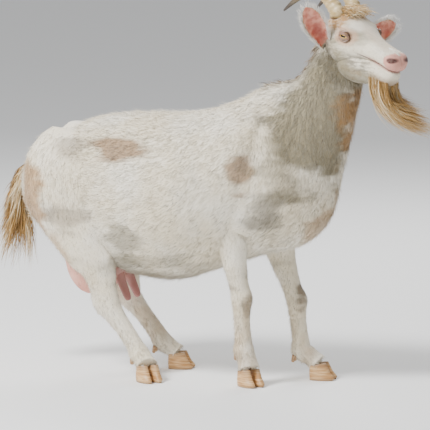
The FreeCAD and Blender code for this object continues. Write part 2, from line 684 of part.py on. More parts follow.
def neck():
    """The nodes of the neck and the atlas that the head turns on."""
    top = atlas_point()
    base = NECK_PIVOT
    dens_foot = top - UP * (ATLAS_LENGTH / 2 + BONE_GAP)
    path = [base, V(NECK[1][0] - 14, 0, NECK[1][1] - 10), V(NECK[3][0], top.y * 0.5, NECK[3][1]), dens_foot]
    curve = Part.BSplineCurve()
    curve.interpolate(path)
    bones = []
    for k in range(NECK_BONES):
        a = curve.value(curve.FirstParameter + (curve.LastParameter - curve.FirstParameter) * k / NECK_BONES)
        b = curve.value(curve.FirstParameter + (curve.LastParameter - curve.FirstParameter) * (k + 1) / NECK_BONES)
        way = (b - a).normalize()
        last = k == NECK_BONES - 1
        start_radius = NECK_BONE_RADIUS if k else NECK_JOINT * 0.75
        bone = rod(a + way * (DISC if k else NECK_JOINT * 0.6), b, start_radius, NECK_BONE_RADIUS)
        if k == 0:
            bone = bone.cut(roller(base, NECK_JOINT + BONE_GAP, 100))
        if last:
            bone = bone.fuse(rod(dens_foot - UP * 12, dens_foot + UP * (ATLAS_LENGTH * 0.5), DENS_RADIUS))
            bone = bone.cut(Part.makeBox(80, 80, 40, V(top.x - 40, top.y - 40, dens_foot.z)).cut(
                rod(dens_foot, dens_foot + UP * 60, DENS_RADIUS)))
        bones.append(bone)
    flesh = tube([(V(x, 0, z), across, deep) for x, z, across, deep in NECK])
    flesh = flesh.cut(ball(NECK_PIVOT, NECK_HUB + FLESH_GAP))
    throat = Part.makeBox(400, 400, 400, V(top.x - THROAT_SPLIT, -200, top.z - 300))
    flesh = flesh.cut(ball(nod_point(), THROAT_CLEAR).common(throat))
    flesh = flesh.cut(ball(nod_point(), NAPE_CLEAR))
    flesh = flesh.cut(bones)
    atlas = rod(top - UP * (ATLAS_LENGTH / 2), top + UP * (ATLAS_LENGTH / 2 + 4), ATLAS_RADIUS)
    wings = Part.makeBox(26, 64, 7, V(-13, -32, -3.5))
    wings = moved(wings, FreeCAD.Placement(top - UP * 2, FreeCAD.Rotation(UP, HEAD_YAW)))
    atlas = atlas.fuse(wings).cut(rod(top - UP * 40, top + UP * 2, DENS_RADIUS + BONE_GAP))
    atlas = atlas.cut(roller(nod_point(), OCCIPUT_RADIUS + BONE_GAP, 80, nod_axis()))
    return {"neck_muscle": flesh, "neck_vertebrae": Part.makeCompound(bones), "atlas_vertebra": atlas}


def mouth_height(x):
    """Height of the mouth line in the head's frame."""
    return JAW_HINGE.z - MOUTH_DROP * (x - JAW_HINGE.x)


def above_mouth(rise):
    """A large block above the mouth line, lifted by rise."""
    low, high = -200, 400
    outline = [V(low, -200, mouth_height(low) + rise), V(high, -200, mouth_height(high) + rise),
               V(high, -200, 300), V(low, -200, 300)]
    return Part.Face(Part.makePolygon(outline + outline[:1])).extrude(LEFT * 400)


def horn(side):
    """One horn: a tapering bar bent back in an arc, and the bone core inside its root."""
    foot, tip = mirrored(HORN_FOOT, side), mirrored(HORN_TIP, side)
    stations, core = [], [(foot + V(14, 0, -HORN_ROOT), HORN_RADIUS * 0.4, HORN_RADIUS * 0.4)]
    for k in range(HORN_SECTIONS + 1):
        share = k / HORN_SECTIONS
        lift = HORN_RISE * math.sin(math.pi * share) + HORN_BACK_LIFT * share * (1 - share)
        point = part_way(foot, tip, share) + UP * lift
        radius = HORN_TIP_RADIUS + (HORN_RADIUS - HORN_TIP_RADIUS) * (1 - share) ** 0.8
        stations.append((point, radius * 0.84, radius))
        if share <= HORN_CORE:
            core.append((point, radius * 0.45, radius * 0.5))
    return tube(stations), tube(core)


def ear(side):
    """One ear: a ball at its root and a leaf that points outward."""
    foot = mirrored(EAR_FOOT, side)
    way = V(EAR_WAY[side]).normalize()
    side_way = FORWARD - way * FORWARD.dot(way)
    leaf = tube([(foot + way * reach, across, thick) for reach, across, thick in EAR], side_way)
    return leaf.fuse(ball(foot, EAR_BALL))


def jaw_parts(muzzle):
    """Jawbone, teeth, tongue, chin flesh and beard in the head's frame. muzzle is the whole head as one solid."""
    branches = []
    for out in (1, -1):
        hinge = JAW_HINGE + LEFT * (out * JAW_SIDE)
        corner = V(66, out * (JAW_SIDE - 2), -116)
        chin = V(208, out * 9, -95)
        branches.append(roller(hinge, JAW_HINGE_RADIUS, 18))
        branches.append(rod(hinge, corner, JAW_BONE * 0.8, JAW_BONE))
        branches.append(ball(corner, JAW_BONE * 1.15))
        branches.append(rod(corner, chin, JAW_BONE, JAW_BONE * 0.9))
    branches.append(ball(V(204, 0, -95), JAW_BONE * 1.9))
    bone = fused(branches)
    centre, radius = TOOTH_ARCH
    teeth = []
    for k in range(TEETH):
        turn = math.radians(-70 + 140 * k / (TEETH - 1))
        x, y = centre + radius * math.cos(turn) - radius * 0.5, radius * math.sin(turn)
        top = mouth_height(x) - MOUTH_GAP
        teeth.append(rod(V(x, y, top - TOOTH_HEIGHT), V(x, y, top), TOOTH_RADIUS * 0.8, TOOTH_RADIUS))
    tongue = tube([(V(x, 0, mouth_height(x) - MOUTH_GAP - thick - 1), across, thick) for x, across, thick in TONGUE])
    tongue = tongue.cut(teeth + [bone])
    rear = [V(JAW_FROM, -200, 0), V(JAW_FROM, -200, mouth_height(JAW_FROM)), V(JAW_FROM + JAW_SLANT, -200, -200),
            V(-100, -200, -200), V(-100, -200, 0)]
    rear = Part.Face(Part.makePolygon(rear + rear[:1])).extrude(LEFT * 400)
    flesh = muzzle.cut(above_mouth(-MOUTH_GAP)).cut(rear).cut([bone, tongue] + teeth)
    return {"jawbone": bone, "lower_teeth": Part.makeCompound(teeth), "tongue": tongue, "chin_and_lip": flesh}


def beard(chin_pieces):
    """The beard: a flat tuft that hangs from the chin and sweeps forward."""
    place = head_place()
    root = place.multVec(CHIN_BEARD)
    way = V(BEARD_WAY).normalize()
    stations = []
    for share, across in ((0.0, 1.0), (0.3, 1.15), (0.65, 0.7), (1.0, 0.12)):
        sag = UP * (-BEARD_LENGTH * 0.18 * math.sin(math.pi * share))
        stations.append((root + way * (BEARD_LENGTH * share) + sag, BEARD_ROOT * across, BEARD_ROOT * across * 0.7))
    return largest(tube(stations).cut(chin_pieces))


def head():
    """The nodes of the head, jaw, ears, eyes and horns."""
    place = head_place()
    muzzle = loft([section(V(x, 0, z), FORWARD, across, deep) for x, z, across, deep in HEAD])
    upper = above_mouth(0)
    inner = [section(V(x, 0, z), FORWARD, across - SKULL_INSET, deep - SKULL_INSET)
             for x, z, across, deep in HEAD[:-1]]
    skull = loft(inner).common(above_mouth(5)).cut(ball(OCCIPUT, OCCIPUT_RADIUS * 2.6))
    skull = fused([skull, roller(OCCIPUT, OCCIPUT_RADIUS, OCCIPUT_WIDTH), rod(OCCIPUT, OCCIPUT + V(28, 0, 22), 8)])
    seats = [ball(mirrored(EYE, side), EYE_RADIUS + EYE_SEAT) for side in ("left", "right")]
    ear_seats = [ball(mirrored(EAR_FOOT, side), EAR_BALL + FLESH_GAP) for side in ("left", "right")]
    jaw_room = roller(JAW_HINGE, JAW_HINGE_RADIUS + BONE_GAP + 0.5, 2 * JAW_SIDE + 40)
    skull = skull.cut(seats + ear_seats + [jaw_room])
    horns = {side: horn(side) for side in ("left", "right")}
    skull = fused([skull] + [horns[side][1] for side in horns])
    face = muzzle.common(upper)
    atlas_room = ball(OCCIPUT, ATLAS_ROOM)
    face = largest(face.cut(seats + ear_seats + [jaw_room, atlas_room, skull]))
    nodes = {"skull": skull}
    for side in ("left", "right"):
        shell = horns[side][0].cut(skull)
        face = face.cut(horns[side][0])
        nodes[f"{side}_horn"] = shell
        nodes[f"{side}_ear"] = ear(side)
        nodes[f"{side}_eye"] = ball(mirrored(EYE, side), EYE_RADIUS)
    nodes["face_flesh"] = face
    nodes.update(jaw_parts(muzzle))
    nodes = {name: moved(shape, place) for name, shape in nodes.items()}
    nodes["beard"] = beard([nodes["chin_and_lip"], nodes["jawbone"]])
    return nodes


def tail():
    """The nodes of the tail."""
    angle = math.radians(TAIL_FALL)
    way = V(-math.sin(angle), 0, -math.cos(angle))
    bones = []
    for k in range(TAIL_BONES):
        start = TAIL_ROOT + way * (k * TAIL_BONE + (DISC if k else 2))
        end = TAIL_ROOT + way * ((k + 1) * TAIL_BONE)
        bones.append(rod(start, end, 6 - 0.5 * k, 5.5 - 0.5 * k))
    bones[0] = bones[0].cut(roller(TAIL_ROOT, TAIL_HINGE + BONE_GAP, 40))
    tuft = tube([(TAIL_ROOT + way * reach, across, deep) for reach, across, deep in TAIL]).cut(bones)
    return {"tail_bones": Part.makeCompound(bones), "tail_tuft": tuft}


def whole_animal():
    """Every node by name, with the bottom centre of the bounding box at the origin, and the shift that does it."""
    nodes = trunk()
    nodes.update(neck())
    nodes.update(head())
    nodes.update(tail())
    for side in ("left", "right"):
        nodes.update(fore_leg(side))
        nodes.update(hind_leg(side))
    box = FreeCAD.BoundBox()
    for shape in nodes.values():
        box.add(shape.optimalBoundingBox(False, False))
    shift = V(-box.Center.x, -box.Center.y, -box.ZMin)
    for shape in nodes.values():
        shape.translate(shift)
    return nodes, shift


def main():
    """Write one STEP file for each node."""
    os.makedirs("parts", exist_ok=True)
    nodes, _ = whole_animal()
    for name, shape in nodes.items():
        shape.exportStep(f"parts/{name}.step")


if __name__ == "__main__":
    main()
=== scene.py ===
"""Visual model of a standing horned dairy doe: hide, hair, horn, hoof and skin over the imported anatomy.

Every surface is worked out in millimetres in the animal's own frame: +X to the head, +Y to its left, +Z up,
with the soles on Z = 0 and X counted from the middle of the body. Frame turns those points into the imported
model's metres.
"""

import json
import logging
import math
from dataclasses import dataclass, field
from enum import Enum
from typing import Optional, Sequence, Union

import bpy
import numpy as np
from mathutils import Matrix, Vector

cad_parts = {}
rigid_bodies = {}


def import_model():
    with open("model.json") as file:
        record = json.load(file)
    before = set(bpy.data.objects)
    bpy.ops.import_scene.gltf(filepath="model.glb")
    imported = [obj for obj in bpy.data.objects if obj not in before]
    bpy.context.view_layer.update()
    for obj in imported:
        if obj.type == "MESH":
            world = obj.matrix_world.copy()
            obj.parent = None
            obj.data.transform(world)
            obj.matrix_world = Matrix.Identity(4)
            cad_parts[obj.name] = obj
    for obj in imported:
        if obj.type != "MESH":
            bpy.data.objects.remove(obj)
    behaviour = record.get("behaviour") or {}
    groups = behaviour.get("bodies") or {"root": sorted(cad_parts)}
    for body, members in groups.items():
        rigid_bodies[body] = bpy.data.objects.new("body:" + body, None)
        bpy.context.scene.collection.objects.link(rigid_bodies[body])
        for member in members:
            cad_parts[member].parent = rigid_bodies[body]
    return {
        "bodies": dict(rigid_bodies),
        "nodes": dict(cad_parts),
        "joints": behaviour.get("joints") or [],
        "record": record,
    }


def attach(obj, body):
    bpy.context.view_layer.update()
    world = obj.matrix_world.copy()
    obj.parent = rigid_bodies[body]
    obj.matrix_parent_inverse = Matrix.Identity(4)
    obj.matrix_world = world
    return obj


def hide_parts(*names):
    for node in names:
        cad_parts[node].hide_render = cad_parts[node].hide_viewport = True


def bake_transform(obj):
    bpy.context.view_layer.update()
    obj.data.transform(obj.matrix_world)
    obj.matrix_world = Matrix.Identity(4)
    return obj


log = logging.getLogger("goat")
Array = np.ndarray
Colour = tuple[float, float, float]
SEED = 7
NECK_PIVOT = (318.0, 0.0, 648.0)
COFFIN_HEIGHT = 36.0  # centre of the last toe joint above the ground
PASTERNS = {"fore": 65.0, "hind": 58.0}  # length from fetlock to the last toe joint
STRAND_POINTS = 7
STRANDS_A_PIECE = 19000


class Side(Enum):
    """Which side of the animal a piece is on, as the sign of its Y."""

    RIGHT = -1
    LEFT = 1

    @property
    def word(self) -> str:
        """The side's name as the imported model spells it."""
        return self.name.lower()


# ---------------------------------------------------------------- numbers and vectors


def unit(v: Array) -> Array:
    """Vectors scaled to length one along the last axis."""
    return v / np.maximum(np.linalg.norm(v, axis=-1, keepdims=True), 1e-9)


def smooth(x: Array) -> Array:
    """3x^2 - 2x^3 between 0 and 1, and flat outside."""
    x = np.clip(x, 0.0, 1.0)
    return x * x * (3 - 2 * x)


def bell(x: Array, centre: float, width: float) -> Array:
    """exp(-((x - centre) / width)^2)."""
    return np.exp(-(((x - centre) / width) ** 2))


def hermite(knots: Sequence[float], rows: Sequence, at: Array) -> Array:
    """Smooth values between table rows.

    Args:
        knots: Rising places of the rows.
        rows: One row of values for each knot.
        at: Places to look up.

    Returns:
        The cubic Hermite curve h00 p0 + h10 m0 + h01 p1 + h11 m1, with slopes from the neighbouring rows.
    """
    k, p = np.asarray(knots, float), np.asarray(rows, float)
    p = p.reshape(len(k), -1)
    slope = np.gradient(p, k, axis=0)
    i = np.clip(np.searchsorted(k, at, side="right") - 1, 0, len(k) - 2)
    h = (k[i + 1] - k[i])[:, None]
    t = np.clip((np.asarray(at)[:, None] - k[i][:, None]) / h, 0, 1)
    return (
        (2 * t**3 - 3 * t**2 + 1) * p[i]
        + (t**3 - 2 * t**2 + t) * h * slope[i]
        + (3 * t**2 - 2 * t**3) * p[i + 1]
        + (t**3 - t**2) * h * slope[i + 1]
    )


def turned(
    points: Array, axis: Sequence[float], degrees: Union[float, Array], about: Sequence[float] = (0, 0, 0)
) -> Array:
    """Points turned about an axis by Rodrigues' formula: v cos a + (k x v) sin a + k (k.v)(1 - cos a)."""
    k = unit(np.asarray(axis, float))
    a = np.radians(np.asarray(degrees, float))[..., None]
    v = points - np.asarray(about, float)
    along = (v @ k)[..., None] * k
    return v * np.cos(a) + np.cross(
        np.broadcast_to(k, v.shape), v
    ) * np.sin(a) + along * (1 - np.cos(a)) + np.asarray(about, float)


# ---------------------------------------------------------------- frame


class Frame:
    """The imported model: joints, record, and the move from the animal's millimetres to the frame's metres."""

    def __init__(self) -> None:
        """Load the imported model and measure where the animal's origin lies in it."""
        self.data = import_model()
        self.joints = {j["name"]: j for j in self.data["joints"]}
        pivot = np.array(self.joints["neck_lower"]["pos_m"], float)
        self.origin = pivot - np.array(NECK_PIVOT) / 1000

    def metres(self, points: Array) -> Array:
        """Animal millimetres to frame metres."""
        return np.asarray(points, float) / 1000 + self.origin

    def joint(self, name: str) -> Array:
        """A joint's position in animal millimetres."""
        return (np.array(self.joints[name]["pos_m"], float) - self.origin) * 1000

    def axis(self, name: str) -> Array:
        """A joint's axis."""
        return np.array(self.joints[name]["axis"], float)


@dataclass(frozen=True)
class Bend:
    """Which body a piece hangs on; a second body and two points name a bend from one to the next, which
    Studio.mesh does not carry out.
    """

    body: str
    to: Optional[str] = None
    start: Sequence[float] = (0, 0, 0)
    end: Sequence[float] = (0, 0, 1)


class Studio:
    """Makes meshes in the frame and counts their triangles."""

    def __init__(self, frame: Frame) -> None:
        """Keep the frame that points are placed in."""
        self.frame = frame
        self.count = 0

    def mesh(
        self, name: str, points: Array, faces: list, material: bpy.types.Material, bend: Bend,
        tone: Optional[Array] = None,
    ) -> bpy.types.Object:
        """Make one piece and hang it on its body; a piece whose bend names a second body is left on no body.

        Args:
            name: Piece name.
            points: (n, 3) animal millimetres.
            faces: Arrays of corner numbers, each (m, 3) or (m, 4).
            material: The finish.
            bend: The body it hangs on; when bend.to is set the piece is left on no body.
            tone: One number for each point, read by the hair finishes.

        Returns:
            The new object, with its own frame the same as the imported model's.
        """
        data = bpy.data.meshes.new(name)
        co = self.frame.metres(points)
        loops = np.concatenate([f.ravel() for f in faces]).astype(np.int32)
        sizes = np.concatenate([np.full(len(f), f.shape[1]) for f in faces]).astype(np.int32)
        data.vertices.add(len(co))
        data.vertices.foreach_set("co", co.astype(np.float32).ravel())
        data.loops.add(len(loops))
        data.loops.foreach_set("vertex_index", loops)
        data.polygons.add(len(sizes))
        data.polygons.foreach_set(
            "loop_start", np.concatenate([[0], np.cumsum(sizes)[:-1]]).astype(np.int32)
        )
        data.update(calc_edges=True)
        data.validate()
        data.shade_smooth()
        if tone is not None:
            layer = data.attributes.new("tone", "FLOAT", "POINT")
            layer.data.foreach_set("value", np.asarray(tone, np.float32))
        data.materials.append(material)
        piece = bpy.data.objects.new(name, data)
        bpy.context.scene.collection.objects.link(piece)
        if bend.to:
            self.frame.metres(bend.start)
            self.frame.metres(bend.end)
            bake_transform(piece)
        else:
            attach(piece, bend.body)
        self.count += int((sizes - 2).sum())
        log.info("%s: %d points, %d triangles", name, len(co), int((sizes - 2).sum()))
        return piece


# ---------------------------------------------------------------- surfaces


def grid_faces(rows: int, cols: int, wrap: bool = True) -> Array:
    """Corner numbers of the quads of a rows by cols grid, closed round the columns when wrap is set."""
    r = np.arange(rows - 1)[:, None]
    c = np.arange(cols if wrap else cols - 1)[None, :]
    n = (c + 1) % cols
    quad = np.stack([r * cols + c, r * cols + n, (r + 1) * cols + n, (r + 1) * cols + c], -1)
    return quad.reshape(-1, 4)


def grid_normals(points: Array, wrap: bool = True) -> Array:
    """Outward unit normals of a grid whose columns run anticlockwise seen from its last row."""
    along = np.gradient(points, axis=0)
    if wrap:
        across = (np.roll(points, -1, 1) - np.roll(points, 1, 1)) / 2
    else:
        across = np.gradient(points, axis=1)
    return unit(np.cross(across, along))


def rounded(theta: Array, power: Array) -> tuple[Array, Array]:
    """Superellipse: sign(c) |c|^(2/n) and sign(s) |s|^(2/n)."""
    c, s = np.cos(theta), np.sin(theta)
    return np.sign(c) * np.abs(c) ** (2 / power), np.sign(s) * np.abs(s) ** (2 / power)


@dataclass
class Hide:
    """A skin surface as a grid of points, with what the hair needs to grow on it."""

    name: str
    points: Array
    bend: Bend
    flow: Array
    wrap: bool = True
    normals: Array = field(init=False)

    def __post_init__(self) -> None:
        """Work out the normals."""
        self.normals = grid_normals(self.points, self.wrap)

    def rows(self, name: str, start: int, stop: int, bend: Bend) -> "Hide":
        """A band of rows as a hide of its own that keeps the whole surface's normals."""
        part = Hide(name, self.points[start:stop], bend, self.flow[start:stop], self.wrap)
        part.normals = self.normals[start:stop]
        return part

    def build(
        self, studio: Studio, material: bpy.types.Material, cap_start: bool = False, cap_end: bool = False,
        tone: Optional[Array] = None,
    ) -> bpy.types.Object:
        """Make the mesh, closing either end with a fan. tone is one number for each grid point."""
        rows, cols = self.points.shape[:2]
        points = self.points.reshape(-1, 3)
        faces = [grid_faces(rows, cols, self.wrap)]
        tones = None if tone is None else np.asarray(tone, float).ravel()
        ring = np.arange(cols)
        nxt = (ring + 1) % cols
        for cap, base, order in ((cap_start, 0, 1), (cap_end, (rows - 1) * cols, -1)):
            if cap:
                tip = len(points)
                points = np.vstack([points, points[base : base + cols].mean(0)])
                tones = None if tones is None else np.append(tones, tones[base : base + cols].mean())
                fan = np.stack([base + nxt, base + ring, np.full(cols, tip)], -1)
                faces.append(fan if order > 0 else fan[:, ::-1])
        return studio.mesh(self.name, points, faces, material, self.bend, tones)

    def sample(self, count: int, rng: np.random.Generator) -> tuple[Array, Array, Array]:
        """Random places spread evenly over the skin.

        Args:
            count: How many.
            rng: Seeded random numbers.

        Returns:
            Points, normals and hair directions, each (n, 3).
        """
        p, n, f = self.points, self.normals, self.flow
        if self.wrap:
            p, n, f = (np.concatenate([a, a[:, :1]], 1) for a in (p, n, f))
        edge_a = p[1:, :-1] - p[:-1, :-1]
        edge_b = p[:-1, 1:] - p[:-1, :-1]
        area = np.linalg.norm(np.cross(edge_a, edge_b), axis=-1)
        cell = rng.choice(area.size, count, p=(area / area.sum()).ravel())
        r, c = np.divmod(cell, area.shape[1])
        u, v = rng.random((2, count))
        out = []
        for a in (p, n, f):
            low = a[r, c] * (1 - v[:, None]) + a[r, c + 1] * v[:, None]
            high = a[r + 1, c] * (1 - v[:, None]) + a[r + 1, c + 1] * v[:, None]
            out.append(low * (1 - u[:, None]) + high * u[:, None])
        return out[0], unit(out[1]), unit(out[2])


def melt(points: Array, base: Hide, soft: float, sink: float) -> Array:
    """Lay points that dip into a base skin just under it, and round off the join.

    The signed height d over the nearest skin becomes (d + sqrt(d^2 + soft^2)) / 2 - sink.
    """
    q, n = base.points.reshape(-1, 3), base.normals.reshape(-1, 3)
    flat = points.reshape(-1, 3)
    blocks = np.array_split(flat, max(len(flat) // 400, 1))
    near = np.concatenate([((block[:, None] - q[None]) ** 2).sum(-1).argmin(1) for block in blocks])
    height = ((flat - q[near]) * n[near]).sum(-1)
    rise = (height + np.sqrt(height**2 + soft**2)) / 2 - sink
    return (flat + n[near] * (rise - height)[:, None]).reshape(points.shape)


def tube(
    path: Array, across: Array, deep: Array, side: Sequence[float], cols: int, power: float = 2.0
) -> Array:
    """A grid of rings along a path.

    Each ring is C + a cos(t) A + d sin(t) B, with A the sideways direction and B square to A and to the path.

    Args:
        path: (rows, 3) centres.
        across: (rows,) half sizes along side.
        deep: (rows,) half sizes square to side.
        side: Rough sideways direction.
        cols: Points round a ring.
        power: Superellipse power, 2 for an oval.

    Returns:
        (rows, cols, 3) points.
    """
    way = unit(np.gradient(path, axis=0))
    a = unit(np.asarray(side, float) - way * (way @ np.asarray(side, float))[:, None])
    b = np.cross(way, a)
    theta = np.linspace(0, 2 * np.pi, cols, endpoint=False)[None, :]
    c, s = rounded(theta, np.full_like(theta, power))
    sideways = a[:, None] * (across[:, None] * c)[..., None]
    upward = b[:, None] * (deep[:, None] * s)[..., None]
    return path[:, None] + sideways + upward


def strand_mesh(
    roots: Array, normals: Array, flow: Array, length: Array, width: Array, lift: Array, sag: Array
) -> tuple[Array, list]:
    """Hairs as three-sided tapering spikes that bend towards the lie of the coat.

    A hair runs root + L (t lift N + t F + t^2 S), with N the skin normal, F the lie and S the sag.

    Args:
        roots: (n, 3) places on the skin.
        normals: (n, 3) skin normals.
        flow: (n, 3) lie of the coat.
        length: (n,) lengths.
        width: (n,) widths at the root.
        lift: (n,) how far a hair stands off the skin.
        sag: (n, 3) bend added towards the tip.

    Returns:
        Points, STRAND_POINTS for each hair, and the faces.
    """
    side = unit(np.cross(flow, normals))
    count = len(roots)
    rings = []
    for t, w in ((0.0, 1.0), (0.5, 0.72)):
        centre = roots + length[:, None] * (t * lift[:, None] * normals + t * flow + t * t * sag)
        half = (width * w / 2)[:, None]
        rings.append(np.stack([centre + side * half, centre - side * half, centre + normals * half], 1))
    tip = roots + length[:, None] * (lift[:, None] * normals + flow + sag)
    points = np.concatenate([rings[0], rings[1], tip[:, None]], 1).reshape(-1, 3)
    quad = np.array([[0, 1, 4, 3], [1, 2, 5, 4], [2, 0, 3, 5]])
    cone = np.array([[3, 4, 6], [4, 5, 6], [5, 3, 6], [2, 1, 0]])
    base = (np.arange(count) * STRAND_POINTS)[:, None, None]
    return points, [(base + quad).reshape(-1, 4), (base + cone).reshape(-1, 3)]


# ---------------------------------------------------------------- shader maths


class Wire:
    """A shader socket that can be used in arithmetic."""

    def __init__(self, net: "Net", socket: bpy.types.NodeSocket) -> None:
        """Keep the node tree and the socket."""
        self.net, self.socket = net, socket

    def _do(self, operation: str, *values: "Number") -> "Wire":
        """A Math node on the values."""
        return self.net.node(
            "ShaderNodeMath", {"operation": operation}, {k: v for k, v in enumerate(values)}
        )

    def __add__(self, other: "Number") -> "Wire":
        """self + other."""
        return self._do("ADD", self, other)

    __radd__ = __add__

    def __mul__(self, other: "Number") -> "Wire":
        """self * other."""
        return self._do("MULTIPLY", self, other)

    __rmul__ = __mul__

    def __sub__(self, other: "Number") -> "Wire":
        """self - other."""
        return self._do("SUBTRACT", self, other)

    def __rsub__(self, other: "Number") -> "Wire":
        """other - self."""
        return self._do("SUBTRACT", other, self)

    def __truediv__(self, other: "Number") -> "Wire":
        """self / other."""
        return self._do("DIVIDE", self, other)

    def __pow__(self, other: "Number") -> "Wire":
        """self to a power."""
        return self._do("POWER", self, other)

    def __abs__(self) -> "Wire":
        """Absolute value."""
        return self._do("ABSOLUTE", self)

    def ease(self, low: float, high: float) -> "Wire":
        """0 below low and 1 above high, with a smooth step between; low may be the larger."""
        ends = {"Value": self, "From Min": low, "From Max": high}
        return self.net.node("ShaderNodeMapRange", {"interpolation_type": "SMOOTHSTEP"}, ends)


Number = Union[Wire, float]
Tint = Union[Wire, Colour]


class Net:
    """The node tree of one material."""

    def __init__(self, name: str) -> None:
        """Start an empty tree with a Principled shader."""
        self.material = bpy.data.materials.new(name)
        self.material.use_nodes = True
        self.tree = self.material.node_tree
        self.tree.nodes.clear()
        self.shader = self.tree.nodes.new("ShaderNodeBsdfPrincipled")
        out = self.tree.nodes.new("ShaderNodeOutputMaterial")
        self.tree.links.new(self.shader.outputs[0], out.inputs["Surface"])

    def node(self, kind: str, settings: dict, inputs: dict, output: Union[int, str] = 0) -> Wire:
        """Add a node.

        Args:
            kind: Node type.
            settings: Properties, set before the inputs.
            inputs: Socket values or wires by name or number.
            output: Which output to return.

        Returns:
            The chosen output.
        """
        made = self.tree.nodes.new(kind)
        for key, value in settings.items():
            setattr(made, key, value)
        for key, value in inputs.items():
            if isinstance(value, Wire):
                self.tree.links.new(value.socket, made.inputs[key])
            else:
                made.inputs[key].default_value = value
        return Wire(self, made.outputs[output])

    def place(self) -> Wire:
        """Object coordinates."""
        return self.node("ShaderNodeTexCoord", {}, {}, "Object")

    def vector(self, operation: str, a: Tint, b: Tint, output: Union[int, str] = 0) -> Wire:
        """A Vector Math node."""
        return self.node("ShaderNodeVectorMath", {"operation": operation}, {0: a, 1: b}, output)

    def dot(self, a: Wire, way: Sequence[float]) -> Wire:
        """Size of a vector along a direction."""
        return self.vector("DOT_PRODUCT", a, tuple(way), "Value")

    def mix(self, factor: Number, a: Tint, b: Tint) -> Wire:
        """Colour a turning into colour b."""
        a, b = (tuple(c) + (1,) if isinstance(c, tuple) and len(c) == 3 else c for c in (a, b))
        return self.node("ShaderNodeMix", {"data_type": "RGBA"}, {0: factor, 6: a, 7: b}, 2)

    def noise(
        self, scale: float, detail: float = 2.0, at: Optional[Wire] = None,
        stretch: Sequence[float] = (1, 1, 1),
    ) -> Wire:
        """Smooth noise from 0 to 1 over the object coordinates, stretched along the axes."""
        at = self.vector("MULTIPLY", at or self.place(), tuple(stretch))
        return self.node("ShaderNodeTexNoise", {}, {"Vector": at, "Scale": scale, "Detail": detail})

    def attribute(self, name: str) -> Wire:
        """A number stored on the mesh."""
        return self.node("ShaderNodeAttribute", {"attribute_name": name}, {}, "Fac")

    def finish(
        self, colour: Tint, rough: Number, bump: Optional[Wire] = None, depth: float = 0.001,
        **settings: float,
    ) -> bpy.types.Material:
        """Join the tree to the shader.

        Args:
            colour: Base colour, fixed or wired.
            rough: Roughness, fixed or wired.
            bump: Height in units of depth.
            depth: Bump depth in metres.
            settings: Fixed values for the shader's other sockets.

        Returns:
            The material.
        """
        for name, value in (("Base Color", colour), ("Roughness", rough)):
            if isinstance(value, Wire):
                self.tree.links.new(value.socket, self.shader.inputs[name])
            else:
                self.shader.inputs[name].default_value = value + (1,) if isinstance(value, tuple) else value
        if bump is not None:
            normal = self.node("ShaderNodeBump", {}, {"Height": bump, "Distance": depth, "Strength": 1.0})
            self.tree.links.new(normal.socket, self.shader.inputs["Normal"])
        for name, value in settings.items():
            self.shader.inputs[name.replace("_", " ")].default_value = value
        return self.material


@dataclass(frozen=True)
class Patch:
    """A soft-edged tinted area of the coat: an oval with centre and radii in animal millimetres. Most are coat
    colour; those over the neck, belly and lower body are painted shade.
    """

    centre: Sequence[float]
    radii: Sequence[float]
    colour: Colour
    strength: float = 0.6


OCHRE: Colour = (0.40, 0.19, 0.035)
TAN: Colour = (0.30, 0.16, 0.06)
UMBER: Colour = (0.13, 0.08, 0.04)
OLIVE: Colour = (0.225, 0.185, 0.10)
GREY: Colour = (0.20, 0.17, 0.12)

PATCHES = [
    Patch((-125, 130, 624), (78, 90, 42), TAN, 0.85),
    Patch((-271, 110, 607), (50, 70, 32), UMBER, 0.45),
    Patch((-271, 150, 430), (72, 80, 46), UMBER, 0.52),
    Patch((220, 130, 575), (38, 80, 62), TAN, 0.80),
    Patch((280, 110, 462), (66, 80, 54), GREY, 0.65),
    # painted shade: these two olive patches darken the neck and its base as shade, not coat colour
    Patch((415, 60, 730), (125, 150, 210), OLIVE, 0.90),
    Patch((340, 60, 600), (100, 120, 120), OLIVE, 0.48),
    Patch((500, 0, 700), (44, 90, 140), OCHRE, 0.80),
    Patch((405, 0, 440), (60, 60, 90), OCHRE, 0.50),
    Patch((-395, 110, 440), (58, 70, 110), OCHRE, 0.75),
    # painted shade: darker umber along the underside of the belly
    Patch((0, 0, 258), (250, 150, 36), UMBER, 0.62),
    Patch((-110, 120, 372), (56, 70, 66), OLIVE, 0.62),
    # painted shade: olive darkening over the lower body
    Patch((-40, 0, 300), (260, 160, 62), OLIVE, 0.48),
    Patch((314, 78, 220), (20, 30, 36), UMBER, 0.85),
    Patch((222, 78, 218), (17, 30, 36), UMBER, 0.85),
    Patch((-310, 120, 300), (40, 60, 90), OCHRE, 0.5),
]


